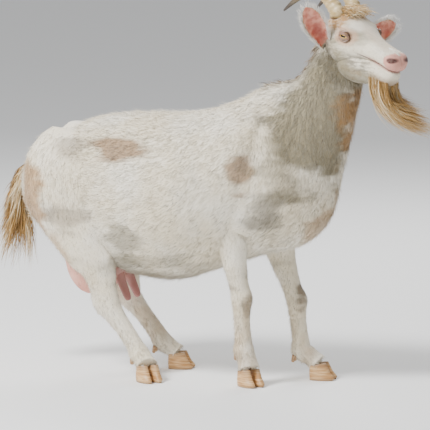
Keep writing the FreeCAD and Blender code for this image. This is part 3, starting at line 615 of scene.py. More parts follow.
class CoatFinish:
    """White goat hair, tinted by patches, as skin or as single hairs."""

    def __init__(self, studio: "Studio", head: "HeadFrame") -> None:
        """Keep the placing of the patches."""
        self.studio, self.head = studio, head

    def colour(self, net: Net) -> Wire:
        """Base colour over the whole animal: cream, then each patch laid over it with a ragged edge, then tan
        painted shade streaked down the legs, then the face.
        """
        at = net.place()
        rag = net.noise(16, 6, stretch=(0.32, 1, 1.3)) - 0.5
        fine = net.noise(7, 4)
        tint = net.mix(fine.ease(0.35, 0.7), (0.83, 0.74, 0.56), (0.90, 0.85, 0.73))
        mirror = self.studio.frame.origin
        for patch in PATCHES:
            centre = tuple(self.studio.frame.metres(patch.centre))
            x = (net.dot(at, (1, 0, 0)) - centre[0]) / (patch.radii[0] / 1000)
            y = (
                abs(net.dot(at, (0, 1, 0)) - float(mirror[1])) - abs(patch.centre[1]) / 1000
            ) / (patch.radii[1] / 1000)
            z = (net.dot(at, (0, 0, 1)) - centre[2]) / (patch.radii[2] / 1000)
            near = (x * x + y * y + z * z) ** 0.5 + rag * 3.0
            tint = net.mix(near.ease(1.25, 0.55) * patch.strength, tint, patch.colour)
        low = net.dot(at, (0, 0, 1))
        # painted shade: tan streaks that darken the legs more and more towards the feet
        legs = low.ease(0.34, 0.10) * (net.noise(14, 3, stretch=(1, 1, 0.4)).ease(0.42, 0.72))
        tint = net.mix(legs * 0.6, tint, (0.48, 0.31, 0.14))
        return self.head.tint(net, tint)

    def skin(self) -> bpy.types.Material:
        """The hide under the hair."""
        net = Net("coat_skin")
        grain = net.noise(420, 3, stretch=(0.35, 1, 1))
        colour = net.mix(grain.ease(0.35, 0.75) * 0.22, self.colour(net), (0.52, 0.47, 0.38))
        return net.finish(colour, 0.85, grain, 0.0012, Sheen_Weight=0.25)

    def hair(self) -> bpy.types.Material:
        """Single hairs, each with its own tone: from dark at 0 to white at 1."""
        net = Net("coat_hair")
        tone = net.attribute("tone")
        base = self.colour(net)
        light = net.mix(
            tone.ease(0.1, 0.8), net.mix(0.22, base, (0.50, 0.42, 0.30)),
            net.mix(0.12, base, (0.98, 0.95, 0.86)),
        )
        colour = net.mix(tone.ease(0.05, 0.02), light, (0.10, 0.07, 0.045))
        return net.finish(colour, 0.75, Sheen_Weight=0.15)


@dataclass(frozen=True)
class HairFinish:
    """Long hair that runs from one colour to another by the tone stored on it."""

    name: str
    dark: Colour
    middle: Colour
    light: Colour

    def make(self) -> bpy.types.Material:
        """The material."""
        net = Net(self.name)
        tone = net.attribute("tone")
        colour = net.mix(
            tone.ease(0.45, 1.0), net.mix(tone.ease(0.0, 0.5), self.dark, self.middle), self.light
        )
        return net.finish(colour, 0.6, Sheen_Weight=0.1)


@dataclass(frozen=True)
class HornFinish:
    """Ochre horn with dark growth lines, darker at the tip. tone on the mesh runs from root to tip."""

    def make(self) -> bpy.types.Material:
        """The material."""
        net = Net("horn")
        tone = net.attribute("tone")
        streak = net.noise(60, 4, stretch=(0.4, 1, 1.6))
        colour = net.mix(streak.ease(0.35, 0.7), (0.47, 0.33, 0.14), (0.66, 0.53, 0.30))
        colour = net.mix(tone.ease(0.45, 0.95), colour, (0.06, 0.045, 0.035))
        return net.finish(colour, 0.42, streak, 0.0008)


@dataclass(frozen=True)
class HoofFinish:
    """Tan hoof horn with growth rings, paler at the toe and dirty at the coronet."""

    def make(self) -> bpy.types.Material:
        """The material."""
        net = Net("hoof")
        z = net.dot(net.place(), (0, 0, 1))
        rings = net.noise(90, 3, stretch=(0.3, 0.3, 3.2))
        colour = net.mix(rings.ease(0.35, 0.7), (0.48, 0.24, 0.08), (0.76, 0.50, 0.25))
        colour = net.mix(z.ease(0.028, 0.046) * 0.6, colour, (0.30, 0.19, 0.11))
        colour = net.mix(z.ease(0.010, 0.0) * 0.55, colour, (0.22, 0.14, 0.08))
        return net.finish(colour, 0.45, rings, 0.0006)


@dataclass(frozen=True)
class SkinFinish:
    """Bare skin: a base colour, mottled, with fine pores and darker freckles."""

    name: str
    base: Colour
    deep: Colour
    freckles: float = 0.0
    rough: float = 0.5

    def make(self) -> bpy.types.Material:
        """The material."""
        net = Net(self.name)
        mottle = net.noise(34, 4)
        colour = net.mix(mottle.ease(0.3, 0.75), self.base, self.deep)
        spots = net.noise(120, 1).ease(0.66, 0.72) * self.freckles
        colour = net.mix(spots, colour, (0.12, 0.05, 0.04))
        return net.finish(colour, self.rough, net.noise(320, 3), 0.0006, Subsurface_Weight=0.08)


@dataclass(frozen=True)
class BoneFinish:
    """Dry ivory bone."""

    def make(self) -> bpy.types.Material:
        """The material."""
        net = Net("bone")
        grain = net.noise(80, 4)
        return net.finish(
            net.mix(grain.ease(0.3, 0.7), (0.70, 0.64, 0.50), (0.82, 0.78, 0.68)), 0.6, grain, 0.0005
        )


@dataclass(frozen=True)
class EarFinish:
    """White coat outside and pink bare skin inside, by the tone stored on the mesh, with painted shade in
    darker red deep in the hollow.
    """

    coat: "CoatFinish"

    def make(self) -> bpy.types.Material:
        """The material."""
        net = Net("ear")
        pink = net.mix(net.noise(60, 4).ease(0.32, 0.68), (0.80, 0.38, 0.28), (0.50, 0.14, 0.10))
        tone = net.attribute("tone")
        # painted shade: darker red deep in the hollow of the ear, where the tone is highest
        pink = net.mix(tone.ease(0.55, 1.0) * 0.6, pink, (0.24, 0.055, 0.045))
        colour = net.mix(tone.ease(0.05, 0.45), self.coat.colour(net), pink)
        return net.finish(colour, 0.65, net.noise(260, 3), 0.0006, Subsurface_Weight=0.1)


@dataclass(frozen=True)
class UdderFinish:
    """Bare pink skin with freckles, mauve towards the front, darker red on the teats, and painted shade in
    darker red towards the bottom.
    """

    studio: Studio

    def make(self) -> bpy.types.Material:
        """The material."""
        net = Net("udder_skin")
        at = net.place()
        edge = self.studio.frame.metres(np.array([-178.0, 0.0, 262.0]))
        colour = net.mix(net.noise(28, 4).ease(0.3, 0.75), (0.88, 0.50, 0.38), (0.74, 0.33, 0.25))
        # painted shade: darker red towards the bottom of the udder
        low = net.dot(at, (0, 0, 1)).ease(float(edge[2]) + 0.01, float(edge[2]) - 0.05)
        colour = net.mix(low * 0.5, colour, (0.50, 0.14, 0.10))
        front = net.dot(at, (1, 0, 0)).ease(float(edge[0]) - 0.04, float(edge[0]) + 0.03)
        colour = net.mix(front * 0.75, colour, (0.27, 0.12, 0.12))
        colour = net.mix(net.noise(110, 1).ease(0.66, 0.73) * 0.6, colour, (0.30, 0.12, 0.09))
        return net.finish(colour, 0.5, net.noise(240, 3), 0.0008, Subsurface_Weight=0.1)


@dataclass(frozen=True)
class EyeFinish:
    """A wet amber eye with a level bar for a pupil, dark rim and pale corners."""

    head: "HeadFrame"
    side: Side

    def make(self) -> bpy.types.Material:
        """The material, from the head's own coordinates about the eye."""
        net = Net(f"{self.side.word}_eye")
        x, _, z = self.head.local(net)
        across, up = x - 75.5, z + 39.5
        reach = (across * across + up * up) ** 0.5
        streak = net.noise(240, 3)
        iris = net.mix(streak.ease(0.3, 0.7), (0.74, 0.40, 0.05), (0.95, 0.66, 0.14))
        colour = net.mix(reach.ease(9.0, 10.4), iris, (0.10, 0.05, 0.03))
        colour = net.mix(reach.ease(11.2, 13.0), colour, (0.55, 0.42, 0.36))
        bar = (((across / 6.8) * (across / 6.8)) ** 2 + ((up / 2.5) * (up / 2.5)) ** 2) ** 0.25
        colour = net.mix(bar.ease(1.1, 0.95), colour, (0.006, 0.006, 0.008))
        return net.finish(colour, 0.08, Coat_Weight=1.0, Coat_Roughness=0.03)


# ---------------------------------------------------------------- body


class HeadFrame:
    """The head's own axes: x to the nose, y left, z up, from the poll."""

    POLL = np.array([464.0, 0.0, 995.0])
    YAW = -28.0
    PITCH = 17.0

    def __init__(self, studio: Studio) -> None:
        """Work out the axes."""
        self.studio = studio
        basis = turned(np.eye(3), (0, 1, 0), self.PITCH)
        self.axes = turned(basis, (0, 0, 1), self.YAW)

    def out(self, points: Array) -> Array:
        """Head millimetres to animal millimetres."""
        return np.asarray(points, float) @ self.axes + self.POLL

    def way(self, direction: Sequence[float]) -> Array:
        """A head direction in the animal's axes."""
        return unit(np.asarray(direction, float)) @ self.axes

    def local(self, net: Net) -> tuple[Wire, Wire, Wire]:
        """Shader coordinates in head millimetres."""
        at = net.vector("SUBTRACT", net.place(), tuple(self.studio.frame.metres(self.POLL)))
        return tuple(net.dot(at, tuple(axis)) * 1000 for axis in self.axes)

    def tint(self, net: Net, coat: Wire) -> Wire:
        """The face over the coat: pink nose and lips, ochre brow, grey-brown cheeks, and painted shade:
        near-black in the nostrils, a dark line along the mouth, a halo and ring round the eyes and olive under
        the jaw.
        """
        x, y, z = self.local(net)
        side = abs(y)
        mouth = z + 66 + (x - 26) * 0.055
        on_head = x.ease(-60, -20) * z.ease(-205, -170)
        rag = net.noise(60, 3) - 0.5
        streak = net.noise(75, 4, stretch=(0.5, 1, 1.6)).ease(0.34, 0.58)

        def oval(cx: float, cz: float, rx: float, rz: float) -> Wire:
            """Distance from an oval's centre in side view, 1 on its rim, with a ragged edge."""
            u, v = (x - cx) / rx, (z - cz) / rz
            return (u * u + v * v) ** 0.5 + rag * 0.5

        brow = on_head * oval(8, -14, 58, 34).ease(1.15, 0.6) * (streak * 0.5 + 0.5) * 0.95
        coat = net.mix(brow, coat, OCHRE)
        bridge = on_head * x.ease(70, 110) * x.ease(214, 186) * z.ease(-58, -36) * side.ease(30, 14) * 0.45
        coat = net.mix(bridge, coat, (0.66, 0.50, 0.34))
        coat = net.mix(
            on_head * oval(48, -118, 62, 44).ease(1.25, 0.6) * (streak * 0.6 + 0.4) * 0.85, coat, OLIVE
        )
        coat = net.mix(on_head * oval(125, -98, 50, 26).ease(1.2, 0.5) * streak * 0.8, coat, GREY)
        # painted shade: olive darkening low on the head, under the jaw
        coat = net.mix(on_head * z.ease(-112, -146) * 0.75, coat, OLIVE)
        coat = net.mix(on_head * x.ease(150, 200) * z.ease(-92, -116) * 0.7, coat, (0.30, 0.17, 0.07))
        pad = oval(240, -52, 32, 27)
        coat = net.mix(on_head * pad.ease(1.1, 0.75) * 0.92, coat, (0.78, 0.33, 0.25))
        lips = abs(mouth).ease(9, 3.0) * x.ease(130, 180) * on_head
        coat = net.mix(lips * 0.9, coat, (0.62, 0.26, 0.20))
        # painted shadow: a near-black line where the lips meet
        line = abs(mouth).ease(2.6, 1.0) * x.ease(110, 140) * on_head
        coat = net.mix(line, coat, (0.09, 0.035, 0.03))
        # painted shade: near-black inside the nostril dents
        u, v = (x - 231) / 9, (z + 49) / 6
        nostril = (u * u + v * v) ** 0.5
        coat = net.mix(on_head * nostril.ease(1.5, 0.8) * side.ease(5, 10), coat, (0.10, 0.025, 0.02))
        # painted shade of the eye socket: a tan halo round the eye and a dark ring next to it, the ring partly
        # the eye's own dark outline
        ring = oval(72, -42, 24, 16)
        coat = net.mix(on_head * ring.ease(1.75, 1.2) * 0.6, coat, (0.62, 0.36, 0.22))
        return net.mix(on_head * ring.ease(1.1, 0.8) * 0.85, coat, (0.20, 0.10, 0.05))


@dataclass(frozen=True)
class Bump:
    """A rise or hollow of the skin on both sides: centre, radii and height along the normal, in mm."""

    centre: Sequence[float]
    radii: Sequence[float]
    height: float


def raise_bumps(points: Array, normals: Array, bumps: Sequence[Bump]) -> Array:
    """Move points along their normals by height * exp(-|(p - c) / r|^2) for every bump, mirrored over Y."""
    for bump in bumps:
        rel = np.stack([points[..., 0], np.abs(points[..., 1]), points[..., 2]], -1) - np.array(bump.centre)
        points = points + normals * (
            bump.height * np.exp(-((rel / np.array(bump.radii)) ** 2).sum(-1))
        )[..., None]
    return points


@dataclass
class Torso:
    """Trunk and neck as one skin, cut into bands for the trunk, the neck, the atlas and the head; only the
    trunk band hangs on its body, the others on none.
    """

    studio: Studio
    rows: int = 176
    cols: int = 120
    # place along the body, top x and z, bottom x and z, half width, height share of the widest part,
    # side shift, upper and lower superellipse power
    stations: tuple = (
        (0.0, -452, 520, -450, 494, 14, 0.5, 0, 2.0, 2.0),
        (0.4, -446, 545, -440, 452, 44, 0.5, 0, 2.0, 2.0),
        (1.0, -422, 566, -420, 408, 78, 0.5, 0, 2.1, 2.0),
        (2.0, -376, 594, -374, 376, 112, 0.55, 0, 2.1, 2.0),
        (3.2, -315, 648, -318, 352, 130, 0.55, 0, 2.2, 2.0),
        (4.2, -245, 681, -250, 312, 138, 0.50, 0, 2.2, 2.0),
        (5.4, -160, 698, -165, 284, 152, 0.46, 0, 2.15, 2.05),
        (6.6, -70, 704, -75, 268, 170, 0.44, 0, 2.1, 2.1),
        (7.8, 15, 708, 12, 268, 179, 0.44, 0, 2.1, 2.15),
        (9.0, 100, 722, 104, 296, 170, 0.46, 0, 2.1, 2.15),
        (10.0, 175, 750, 192, 326, 150, 0.48, 0, 2.05, 2.1),
        (10.9, 236, 779, 268, 350, 130, 0.48, 0, 2.0, 2.1),
        (11.7, 278, 792, 338, 368, 116, 0.48, 0, 2.0, 2.1),
        (12.5, 308, 799, 392, 412, 104, 0.50, 0, 2.0, 2.1),
        (13.3, 332, 809, 430, 486, 92, 0.52, 0, 2.0, 2.05),
        (14.1, 350, 826, 452, 565, 80, 0.54, 0, 2.0, 2.0),
        (14.9, 362, 842, 470, 634, 70, 0.54, 0, 2.0, 2.0),
        (15.7, 373, 862, 484, 696, 61, 0.54, 2, 2.0, 2.0),
        (16.5, 383, 884, 494, 745, 55, 0.54, 5, 2.0, 2.0),
        (17.2, 393, 908, 500, 782, 52, 0.54, 9, 2.0, 2.0),
        (17.9, 408, 932, 504, 812, 47, 0.54, 13, 2.0, 2.0),
        (18.5, 426, 952, 506, 836, 37, 0.54, 16, 2.0, 2.0),
    )
    bumps: tuple = (
        Bump((-262, 92, 642), (40, 36, 34), 5),
        Bump((-418, 52, 566), (26, 26, 24), 6),
        Bump((-185, 140, 590), (58, 70, 42), -15),
        Bump((-330, 120, 560), (50, 60, 60), 8),
        Bump((240, 0, 788), (60, 22, 26), 5),
        Bump((205, 130, 650), (50, 60, 105), 9),
        Bump((322, 110, 562), (38, 46, 44), 12),
        Bump((275, 105, 690), (22, 60, 80), -9),
        Bump((410, 0, 455), (50, 40, 60), 8),
        Bump((112, 160, 560), (26, 70, 120), -6),
        Bump((355, 88, 640), (30, 40, 90), -5),
        Bump((40, 175, 520), (110, 80, 110), 4),
    )

    def build(self) -> list[Hide]:
        """The bands of hide, in order from the trunk to the head."""
        table = np.array(self.stations)
        at = np.concatenate(
            [np.linspace(0, 1, 22)[:-1] ** 1.4, np.linspace(1, table[-1, 0], self.rows - 21)]
        )
        xt, zt, xb, zb, wide, share, shift, up_power, low_power = hermite(table[:, 0], table[:, 1:], at).T
        top, low = (np.stack([x, shift, z], -1) for x, z in ((xt, zt), (xb, zb)))
        middle = low + (top - low) * share[:, None]
        theta = np.linspace(-np.pi / 2, 1.5 * np.pi, self.cols, endpoint=False)[None, :]
        power = np.where(np.sin(theta) > 0, up_power[:, None], low_power[:, None])
        c, s = rounded(theta, power)
        reach = np.where((s > 0)[..., None], (top - middle)[:, None], (middle - low)[:, None])
        sideways = np.array([0, 1.0, 0]) * (wide[:, None] * c)[..., None]
        points = middle[:, None] + reach * s[..., None] + sideways
        points = raise_bumps(points, grid_normals(points), self.bumps)
        keel = bell(points[..., 0], -120, 170) * (points[..., 2] < 330)
        points[..., 2] -= keel * 4
        back = -unit(np.gradient(middle, axis=0))[:, None]
        flow = back + np.array([0, 0, -0.42]) * (1 + 0 * s[..., None])
        normals = grid_normals(points)
        flow = unit(flow - normals * (flow * normals).sum(-1, keepdims=True))
        whole = Hide("torso", points, Bend("trunk"), flow)
        cut = [int(np.searchsorted(at, k)) for k in (10.9, 16.5, 17.6)]
        nod = self.studio.frame.joint("head_nod")
        base = (255.0, 0.0, 768.0)
        return [
            whole.rows("trunk_hide", 0, cut[0] + 1, Bend("trunk")),
            whole.rows("neck_hide", cut[0], cut[1] + 1, Bend("trunk", "neck", base, (380.0, 0.0, 865.0))),
            whole.rows(
                "throat_hide", cut[1], cut[2] + 1,
                Bend("neck", "atlas", (430.0, 0.0, 808.0), (450.0, 0.0, 848.0)),
            ),
            whole.rows(
                "poll_hide", cut[2], len(at),
                Bend("atlas", "head", (444.0, 8.0, 838.0), tuple(nod + np.array([18.0, 0, -28.0]))),
            ),
        ]


@dataclass(frozen=True)
class Ring:
    """One ring of a limb's skin: centre, half width across the body and half depth."""

    centre: Sequence[float]
    across: float
    deep: float


@dataclass
class Limb:
    """A leg's skin from inside the body to the hooves, cut into bands at the middle of its bones."""

    studio: Studio
    side: Side
    rings: Sequence[Ring]
    cuts: Sequence[int]
    bends: Sequence[Bend]
    names: Sequence[str]
    bumps: Sequence[Bump] = ()
    base: Optional[Hide] = None
    melt_rings: int = 0
    toe: Array = field(default_factory=lambda: np.array([1.0, 0, 0]))
    step: int = 7
    cols: int = 48

    def build(self) -> list[Hide]:
        """The bands of hide from the top down."""
        knots = np.arange(len(self.rings), dtype=float)
        at = np.linspace(0, knots[-1], int(knots[-1]) * self.step + 1)
        table = np.array([[*r.centre, r.across, r.deep] for r in self.rings])
        values = hermite(knots, table, at)
        side = np.broadcast_to([0.0, 1.0, 0.0], (len(at), 3)).copy()
        twist = smooth((at - (knots[-1] - 4)) / 3)[:, None]
        side = unit(side * (1 - twist) + np.cross([0, 0, 1.0], self.toe) * twist)
        path = values[:, :3]
        way = unit(np.gradient(path, axis=0))
        a = unit(side - way * (way * side).sum(-1, keepdims=True))
        b = np.cross(way, a)
        theta = np.linspace(np.pi / 2, 2.5 * np.pi, self.cols, endpoint=False)[None, :]
        c, s = rounded(theta, np.full_like(theta, 2.08))
        across = a[:, None] * (values[:, 3:4] * c)[..., None]
        deep = b[:, None] * (values[:, 4:5] * s)[..., None]
        points = path[:, None] + across + deep
        points = raise_bumps(points, grid_normals(points), self.bumps)
        if self.base is not None:
            last = self.melt_rings * self.step
            fade = smooth(1 - (np.arange(last) - last * 0.6) / (last * 0.4))[:, None, None]
            points[:last] = points[:last] * (1 - fade) + melt(points[:last], self.base, 12.0, 3.0) * fade
        flow = np.broadcast_to(way[:, None], points.shape) + np.array([-0.25, 0, 0])
        whole = Hide("limb", points, Bend("trunk"), flow)
        ends = [0] + [c * self.step for c in self.cuts] + [len(at) - 1]
        return [
            whole.rows(n, a, b + 1, bend) for n, a, b, bend in zip(self.names, ends, ends[1:], self.bends)
        ]


def coffin_joint(fetlock: Array, toe: Array, pastern: float) -> Array:
    """The last toe joint: down the pastern from the fetlock, at its own height above the ground."""
    drop = fetlock[2] - COFFIN_HEIGHT
    return fetlock + toe * math.sqrt(max(pastern**2 - drop**2, 0)) - np.array([0, 0, drop])


def fore_limb(studio: Studio, side: Side, trunk: Hide) -> Limb:
    """One fore leg."""
    frame, word, y = studio.frame, side.word, float(side.value)
    shoulder, elbow, knee, fetlock = (
        frame.joint(f"{word}_{n}") for n in ("shoulder", "elbow", "knee", "fore_fetlock")
    )
    toe = np.cross(frame.axis(f"{word}_fore_fetlock"), [0, 0, 1.0])
    coffin = coffin_joint(fetlock, toe, PASTERNS["fore"])
    way = unit(coffin - fetlock)

    def along(a: Array, b: Array, share: float, dx: float = 0.0, dy: float = 0.0, dz: float = 0.0) -> Array:
        """A point between two joints, shifted."""
        return a + (b - a) * share + np.array([dx, dy * y, dz])

    rings = [
        Ring(along(shoulder, elbow, 0, -78, -52, 132), 26, 52),
        Ring(along(shoulder, elbow, 0, -52, -34, 92), 40, 66),
        Ring(along(shoulder, elbow, 0, -24, -18, 42), 47, 72),
        Ring(along(shoulder, elbow, 0.30, -8, -8, 0), 48, 72),
        Ring(along(shoulder, elbow, 0.68, 2, -3, 0), 44, 64),
        Ring(along(elbow, knee, -0.02, 4, 0, 0), 38, 56),
        Ring(along(elbow, knee, 0.24, 2, 0, 0), 31, 42),
        Ring(along(elbow, knee, 0.50, 0, 0, 0), 26, 32),
        Ring(along(elbow, knee, 0.78, 1, 0, 0), 23, 25),
        Ring(along(elbow, knee, 0.98, 2, 0, 0), 24.5, 26.5),
        Ring(along(knee, fetlock, 0.18, 0, 0, 0), 21.5, 23),
        Ring(along(knee, fetlock, 0.48, -2, 0, 0), 18.5, 21),
        Ring(along(knee, fetlock, 0.78, -2, 0, 0), 19.5, 22),
        Ring(along(fetlock, coffin, 0.0, -2, 0, 0), 24, 26),
        Ring(fetlock + way * 30, 25, 22),
        Ring(fetlock + way * 52, 29, 24),
    ]
    cannon = f"{word}_fore_cannon"
    bends = [
        Bend(
            "trunk", f"{word}_upper_arm", along(shoulder, elbow, 0, -40, 0, 96),
            along(shoulder, elbow, 0.55),
        ),
        Bend(
            f"{word}_upper_arm", f"{word}_forearm", along(shoulder, elbow, 0.80), along(elbow, knee, 0.26)
        ),
        Bend(f"{word}_forearm", cannon, along(elbow, knee, 0.86), along(knee, fetlock, 0.16)),
        Bend(cannon, f"{word}_fore_foot", along(knee, fetlock, 0.86), tuple(fetlock + way * 22)),
    ]
    names = [f"{word}_{n}_hide" for n in ("shoulder", "elbow", "knee", "fore_fetlock")]
    bumps = [
        Bump((knee[0] + 22, abs(knee[1]), knee[2] + 6), (12, 18, 24), 4),
        Bump((elbow[0] - 46, abs(elbow[1]), elbow[2] + 8), (20, 26, 24), 8),
        Bump((fetlock[0] - 22, abs(fetlock[1]), fetlock[2] - 4), (12, 20, 12), 4),
    ]
    return Limb(studio, side, rings, (4, 7, 11), bends, names, bumps, trunk, 6, toe)


def hind_limb(studio: Studio, side: Side, trunk: Hide) -> Limb:
    """One hind leg."""
    frame, word, y = studio.frame, side.word, float(side.value)
    hip, stifle, hock, fetlock = (
        frame.joint(f"{word}_{n}") for n in ("hip", "stifle", "hock", "hind_fetlock")
    )
    toe = np.cross(frame.axis(f"{word}_hind_fetlock"), [0, 0, 1.0])
    coffin = coffin_joint(fetlock, toe, PASTERNS["hind"])
    way = unit(coffin - fetlock)

    def spot(a: Array, dx: float, dz: float, out: float) -> Array:
        """A point offset from a joint in side view, at a distance from the middle."""
        return np.array([a[0] + dx, out * y, a[2] + dz])

    def along(a: Array, b: Array, share: float, dx: float = 0.0) -> Array:
        """A point between two joints, shifted forward."""
        return a + (b - a) * share + np.array([dx, 0, 0])

    rings = [
        Ring(spot(hip, 22, 52, 52), 32, 50),
        Ring(spot(hip, 14, 14, 66), 46, 80),
        Ring(spot(hip, 10, -36, 80), 54, 102),
        Ring(spot(stifle, -92, 62, 92), 54, 106),
        Ring(spot(stifle, -72, 8, 98), 49, 98),
        Ring(spot(stifle, -46, -46, 102), 42, 82),
        Ring(spot(stifle, -22, -96, 104), 35, 64),
        Ring(along(stifle, hock, 0.58, -14), 30, 50),
        Ring(along(stifle, hock, 0.80, -8), 25, 37),
        Ring(along(stifle, hock, 0.99, -4), 24, 35),
        Ring(along(hock, fetlock, 0.20, -3), 22, 27),
        Ring(along(hock, fetlock, 0.48, 0), 19.5, 22.5),
        Ring(along(hock, fetlock, 0.78, 0), 20, 22.5),
        Ring(along(fetlock, coffin, 0.0, -1), 24, 25),
        Ring(fetlock + way * 27, 25, 21),
        Ring(fetlock + way * 47, 29, 24),
    ]
    cannon = f"{word}_hind_cannon"
    bends = [
        Bend("trunk", f"{word}_thigh", spot(hip, 10, 44, 80), spot(hip, 26, -96, 90)),
        Bend(f"{word}_thigh", f"{word}_gaskin", spot(stifle, -60, 12, 100), spot(stifle, -16, -96, 100)),
        Bend(f"{word}_gaskin", cannon, along(stifle, hock, 0.86), along(hock, fetlock, 0.22)),
        Bend(cannon, f"{word}_hind_foot", along(hock, fetlock, 0.86), tuple(fetlock + way * 22)),
    ]
    names = [f"{word}_{n}_hide" for n in ("thigh", "gaskin", "hock", "hind_fetlock")]
    bumps = [
        Bump((hock[0] - 30, abs(hock[1]), hock[2] + 14), (15, 18, 22), 9),
        Bump((stifle[0] + 12, abs(stifle[1]) + 6, stifle[2] - 10), (26, 30, 34), 6),
        Bump((fetlock[0] - 20, abs(fetlock[1]), fetlock[2] - 4), (12, 20, 12), 4),
    ]
    return Limb(studio, side, rings, (4, 7, 11), bends, names, bumps, trunk, 6, toe)


# ---------------------------------------------------------------- head


@dataclass
class Head:
    """Face, jaw, eyes, ears and horns."""

    studio: Studio
    frame: HeadFrame
    cols: int = 96
    # x, top, bottom, half width, share of the widest part, power
    face: tuple = (
        (-38, -52, -72, 12, 0.5, 2.0),
        (-32, -36, -92, 30, 0.5, 2.0),
        (-16, -16, -112, 46, 0.5, 2.1),
        (8, -4, -128, 56, 0.55, 2.15),
        (38, 1, -138, 61, 0.58, 2.15),
        (66, -2, -140, 60, 0.60, 2.1),
        (92, -11, -124, 53, 0.58, 2.1),
        (118, -20, -100, 45, 0.52, 2.2),
        (145, -27, -84, 38, 0.46, 2.35),
        (172, -31, -77, 35, 0.44, 2.5),
        (198, -33, -77, 34.5, 0.46, 2.5),
        (218, -34, -78, 34, 0.48, 2.4),
        (232, -38, -78, 29, 0.50, 2.2),
        (241, -46, -76, 20, 0.52, 2.0),
        (246, -56, -68, 8, 0.52, 2.0),
    )
    jaw: tuple = (
        (34, -86, -130, 18, 0.5, 2.0),
        (48, -76, -150, 36, 0.5, 2.0),
        (70, -72, -162, 47, 0.55, 2.1),
        (98, -71.5, -163, 45, 0.6, 2.1),
        (128, -73, -155, 40, 0.62, 2.1),
        (158, -74.5, -144, 35, 0.62, 2.15),
        (186, -76, -135, 31, 0.60, 2.2),
        (208, -77.5, -129, 28, 0.56, 2.2),
        (224, -79, -122, 22, 0.55, 2.1),
        (233, -81, -110, 14, 0.55, 2.0),
        (238, -86, -99, 5, 0.5, 2.0),
    )
    face_bumps: tuple = (
        Bump((72, 58, -42), (19, 22, 14), -4.5),
        Bump((66, 52, -22), (26, 16, 9), 6.5),
        Bump((34, 58, -36), (18, 22, 20), -6),
        Bump((56, 58, -98), (34, 20, 28), 5),
        Bump((112, 44, -58), (36, 16, 10), 3.5),
        Bump((126, 36, -40), (26, 14, 12), -3),
        Bump((20, 30, 2), (22, 18, 18), 7),
        Bump((222, 22, -52), (15, 14, 15), 4.5),
        Bump((231, 15, -49), (6.5, 6.5, 4.5), -9),
        Bump((222, 13, -72), (18, 16, 9), 3.5),
        Bump((241, 0, -60), (9, 3.2, 16), -3.5),
        Bump((10, 64, -58), (17, 18, 17), -4),
    )
    jaw_bumps: tuple = (
        Bump((206, 0, -114), (18, 18, 10), 5),
        Bump((216, 12, -84), (16, 14, 7), 3),
        Bump((70, 40, -128), (24, 20, 20), 4),
    )

    def shell(self, name: str, table: tuple, bumps: tuple, body: str, rows: int) -> Hide:
        """A closed skin from a table of sections along the head."""
        t = np.array(table, float)
        knots = np.linspace(0, 1, len(t))
        at = (1 - np.cos(np.linspace(0, np.pi, rows))) / 2
        at = at * 0.35 + np.linspace(0, 1, rows) * 0.65
        x, top, low, wide, share, power = hermite(knots, t, at).T
        middle = low + (top - low) * share
        theta = np.linspace(-np.pi / 2, 1.5 * np.pi, self.cols, endpoint=False)[None, :]
        c, s = rounded(theta, np.broadcast_to(power[:, None], (rows, self.cols)))
        z = middle[:, None] + np.where(s > 0, (top - middle)[:, None], (middle - low)[:, None]) * s
        points = np.stack([np.broadcast_to(x[:, None], z.shape), wide[:, None] * c, z], -1)
        points = raise_bumps(points, grid_normals(points), bumps)
        lie = np.broadcast_to([-1.0, 0.0, -0.15], points.shape)
        return Hide(name, self.frame.out(points), Bend(body), unit(lie) @ self.frame.axes)

    def hides(self) -> list[Hide]:
        """Face and jaw."""
        return [
            self.shell("face_hide", self.face, self.face_bumps, "head", 132),
            self.shell("jaw_hide", self.jaw, self.jaw_bumps, "jaw", 84),
        ]

    def eye(self, side: Side, ball: bpy.types.Material, lid: bpy.types.Material) -> list[bpy.types.Object]:
        """An eyeball with its two lids."""
        y = side.value
        centre = np.array([72.0, 51.0 * y, -42.0])
        out = unit(np.array([0.30, 0.93 * y, 0.16]))
        lat = np.linspace(0.0, np.pi, 33)[:, None]
        lon = np.linspace(0, 2 * np.pi, 48, endpoint=False)[None, :]
        a = unit(np.cross([0, 0, 1.0], out))
        b = np.cross(out, a)
        ring = np.cos(lon)[..., None] * a + np.sin(lon)[..., None] * b
        sphere = centre + 15.0 * (np.sin(lat)[..., None] * ring - np.cos(lat)[..., None] * out)
        ball_hide = Hide(
            f"{side.word}_eyeball", self.frame.out(sphere[1:-1]), Bend(f"{side.word}_eyeball"),
            self.frame.out(sphere[1:-1]),
        )
        pieces = [ball_hide.build(self.studio, ball, True, True)]
        turn = np.linspace(0, 2 * np.pi, 64, endpoint=False)
        long = 14.5 * np.cos(turn)
        tall = np.where(np.sin(turn) > 0, 8.2, 6.8) * np.sin(turn) * (1 - 0.25 * np.abs(np.cos(turn)))
        depth = np.sqrt(np.maximum(16.4**2 - long**2 * 0.9 - tall**2, 20))
        front = unit(np.cross([0, 0, 1.0], out) * y)
        path = centre + np.stack([long, tall, depth], -1) @ np.stack([front, np.cross(out, front) * y, out])
        path_way = unit(np.roll(path, -1, 0) - np.roll(path, 1, 0))
        radial = unit(path - centre)
        cross = np.cross(path_way, radial)
        t = np.linspace(0, 2 * np.pi, 14, endpoint=False)[None, :, None]
        thick = (1.9 + 1.1 * (np.sin(turn) > 0) * np.sin(turn))[:, None, None]
        tubes = path[:, None] + thick * (np.cos(t) * radial[:, None] + 1.25 * np.sin(t) * cross[:, None])
        closed = np.concatenate([tubes, tubes[:1]], 0)
        faces = grid_faces(65, 14)
        faces = np.where(faces >= 64 * 14, faces - 64 * 14, faces)
        normal = np.cross(
            closed[1, 1] - closed[0, 1], closed[0, 2] - closed[0, 1]
        ) @ (closed[0, 1] - path[0])
        faces = faces if normal < 0 else faces[:, ::-1]
        points = self.frame.out(tubes.reshape(-1, 3))
        pieces.append(self.studio.mesh(f"{side.word}_eyelids", points, [faces], lid, Bend("head")))
        return pieces

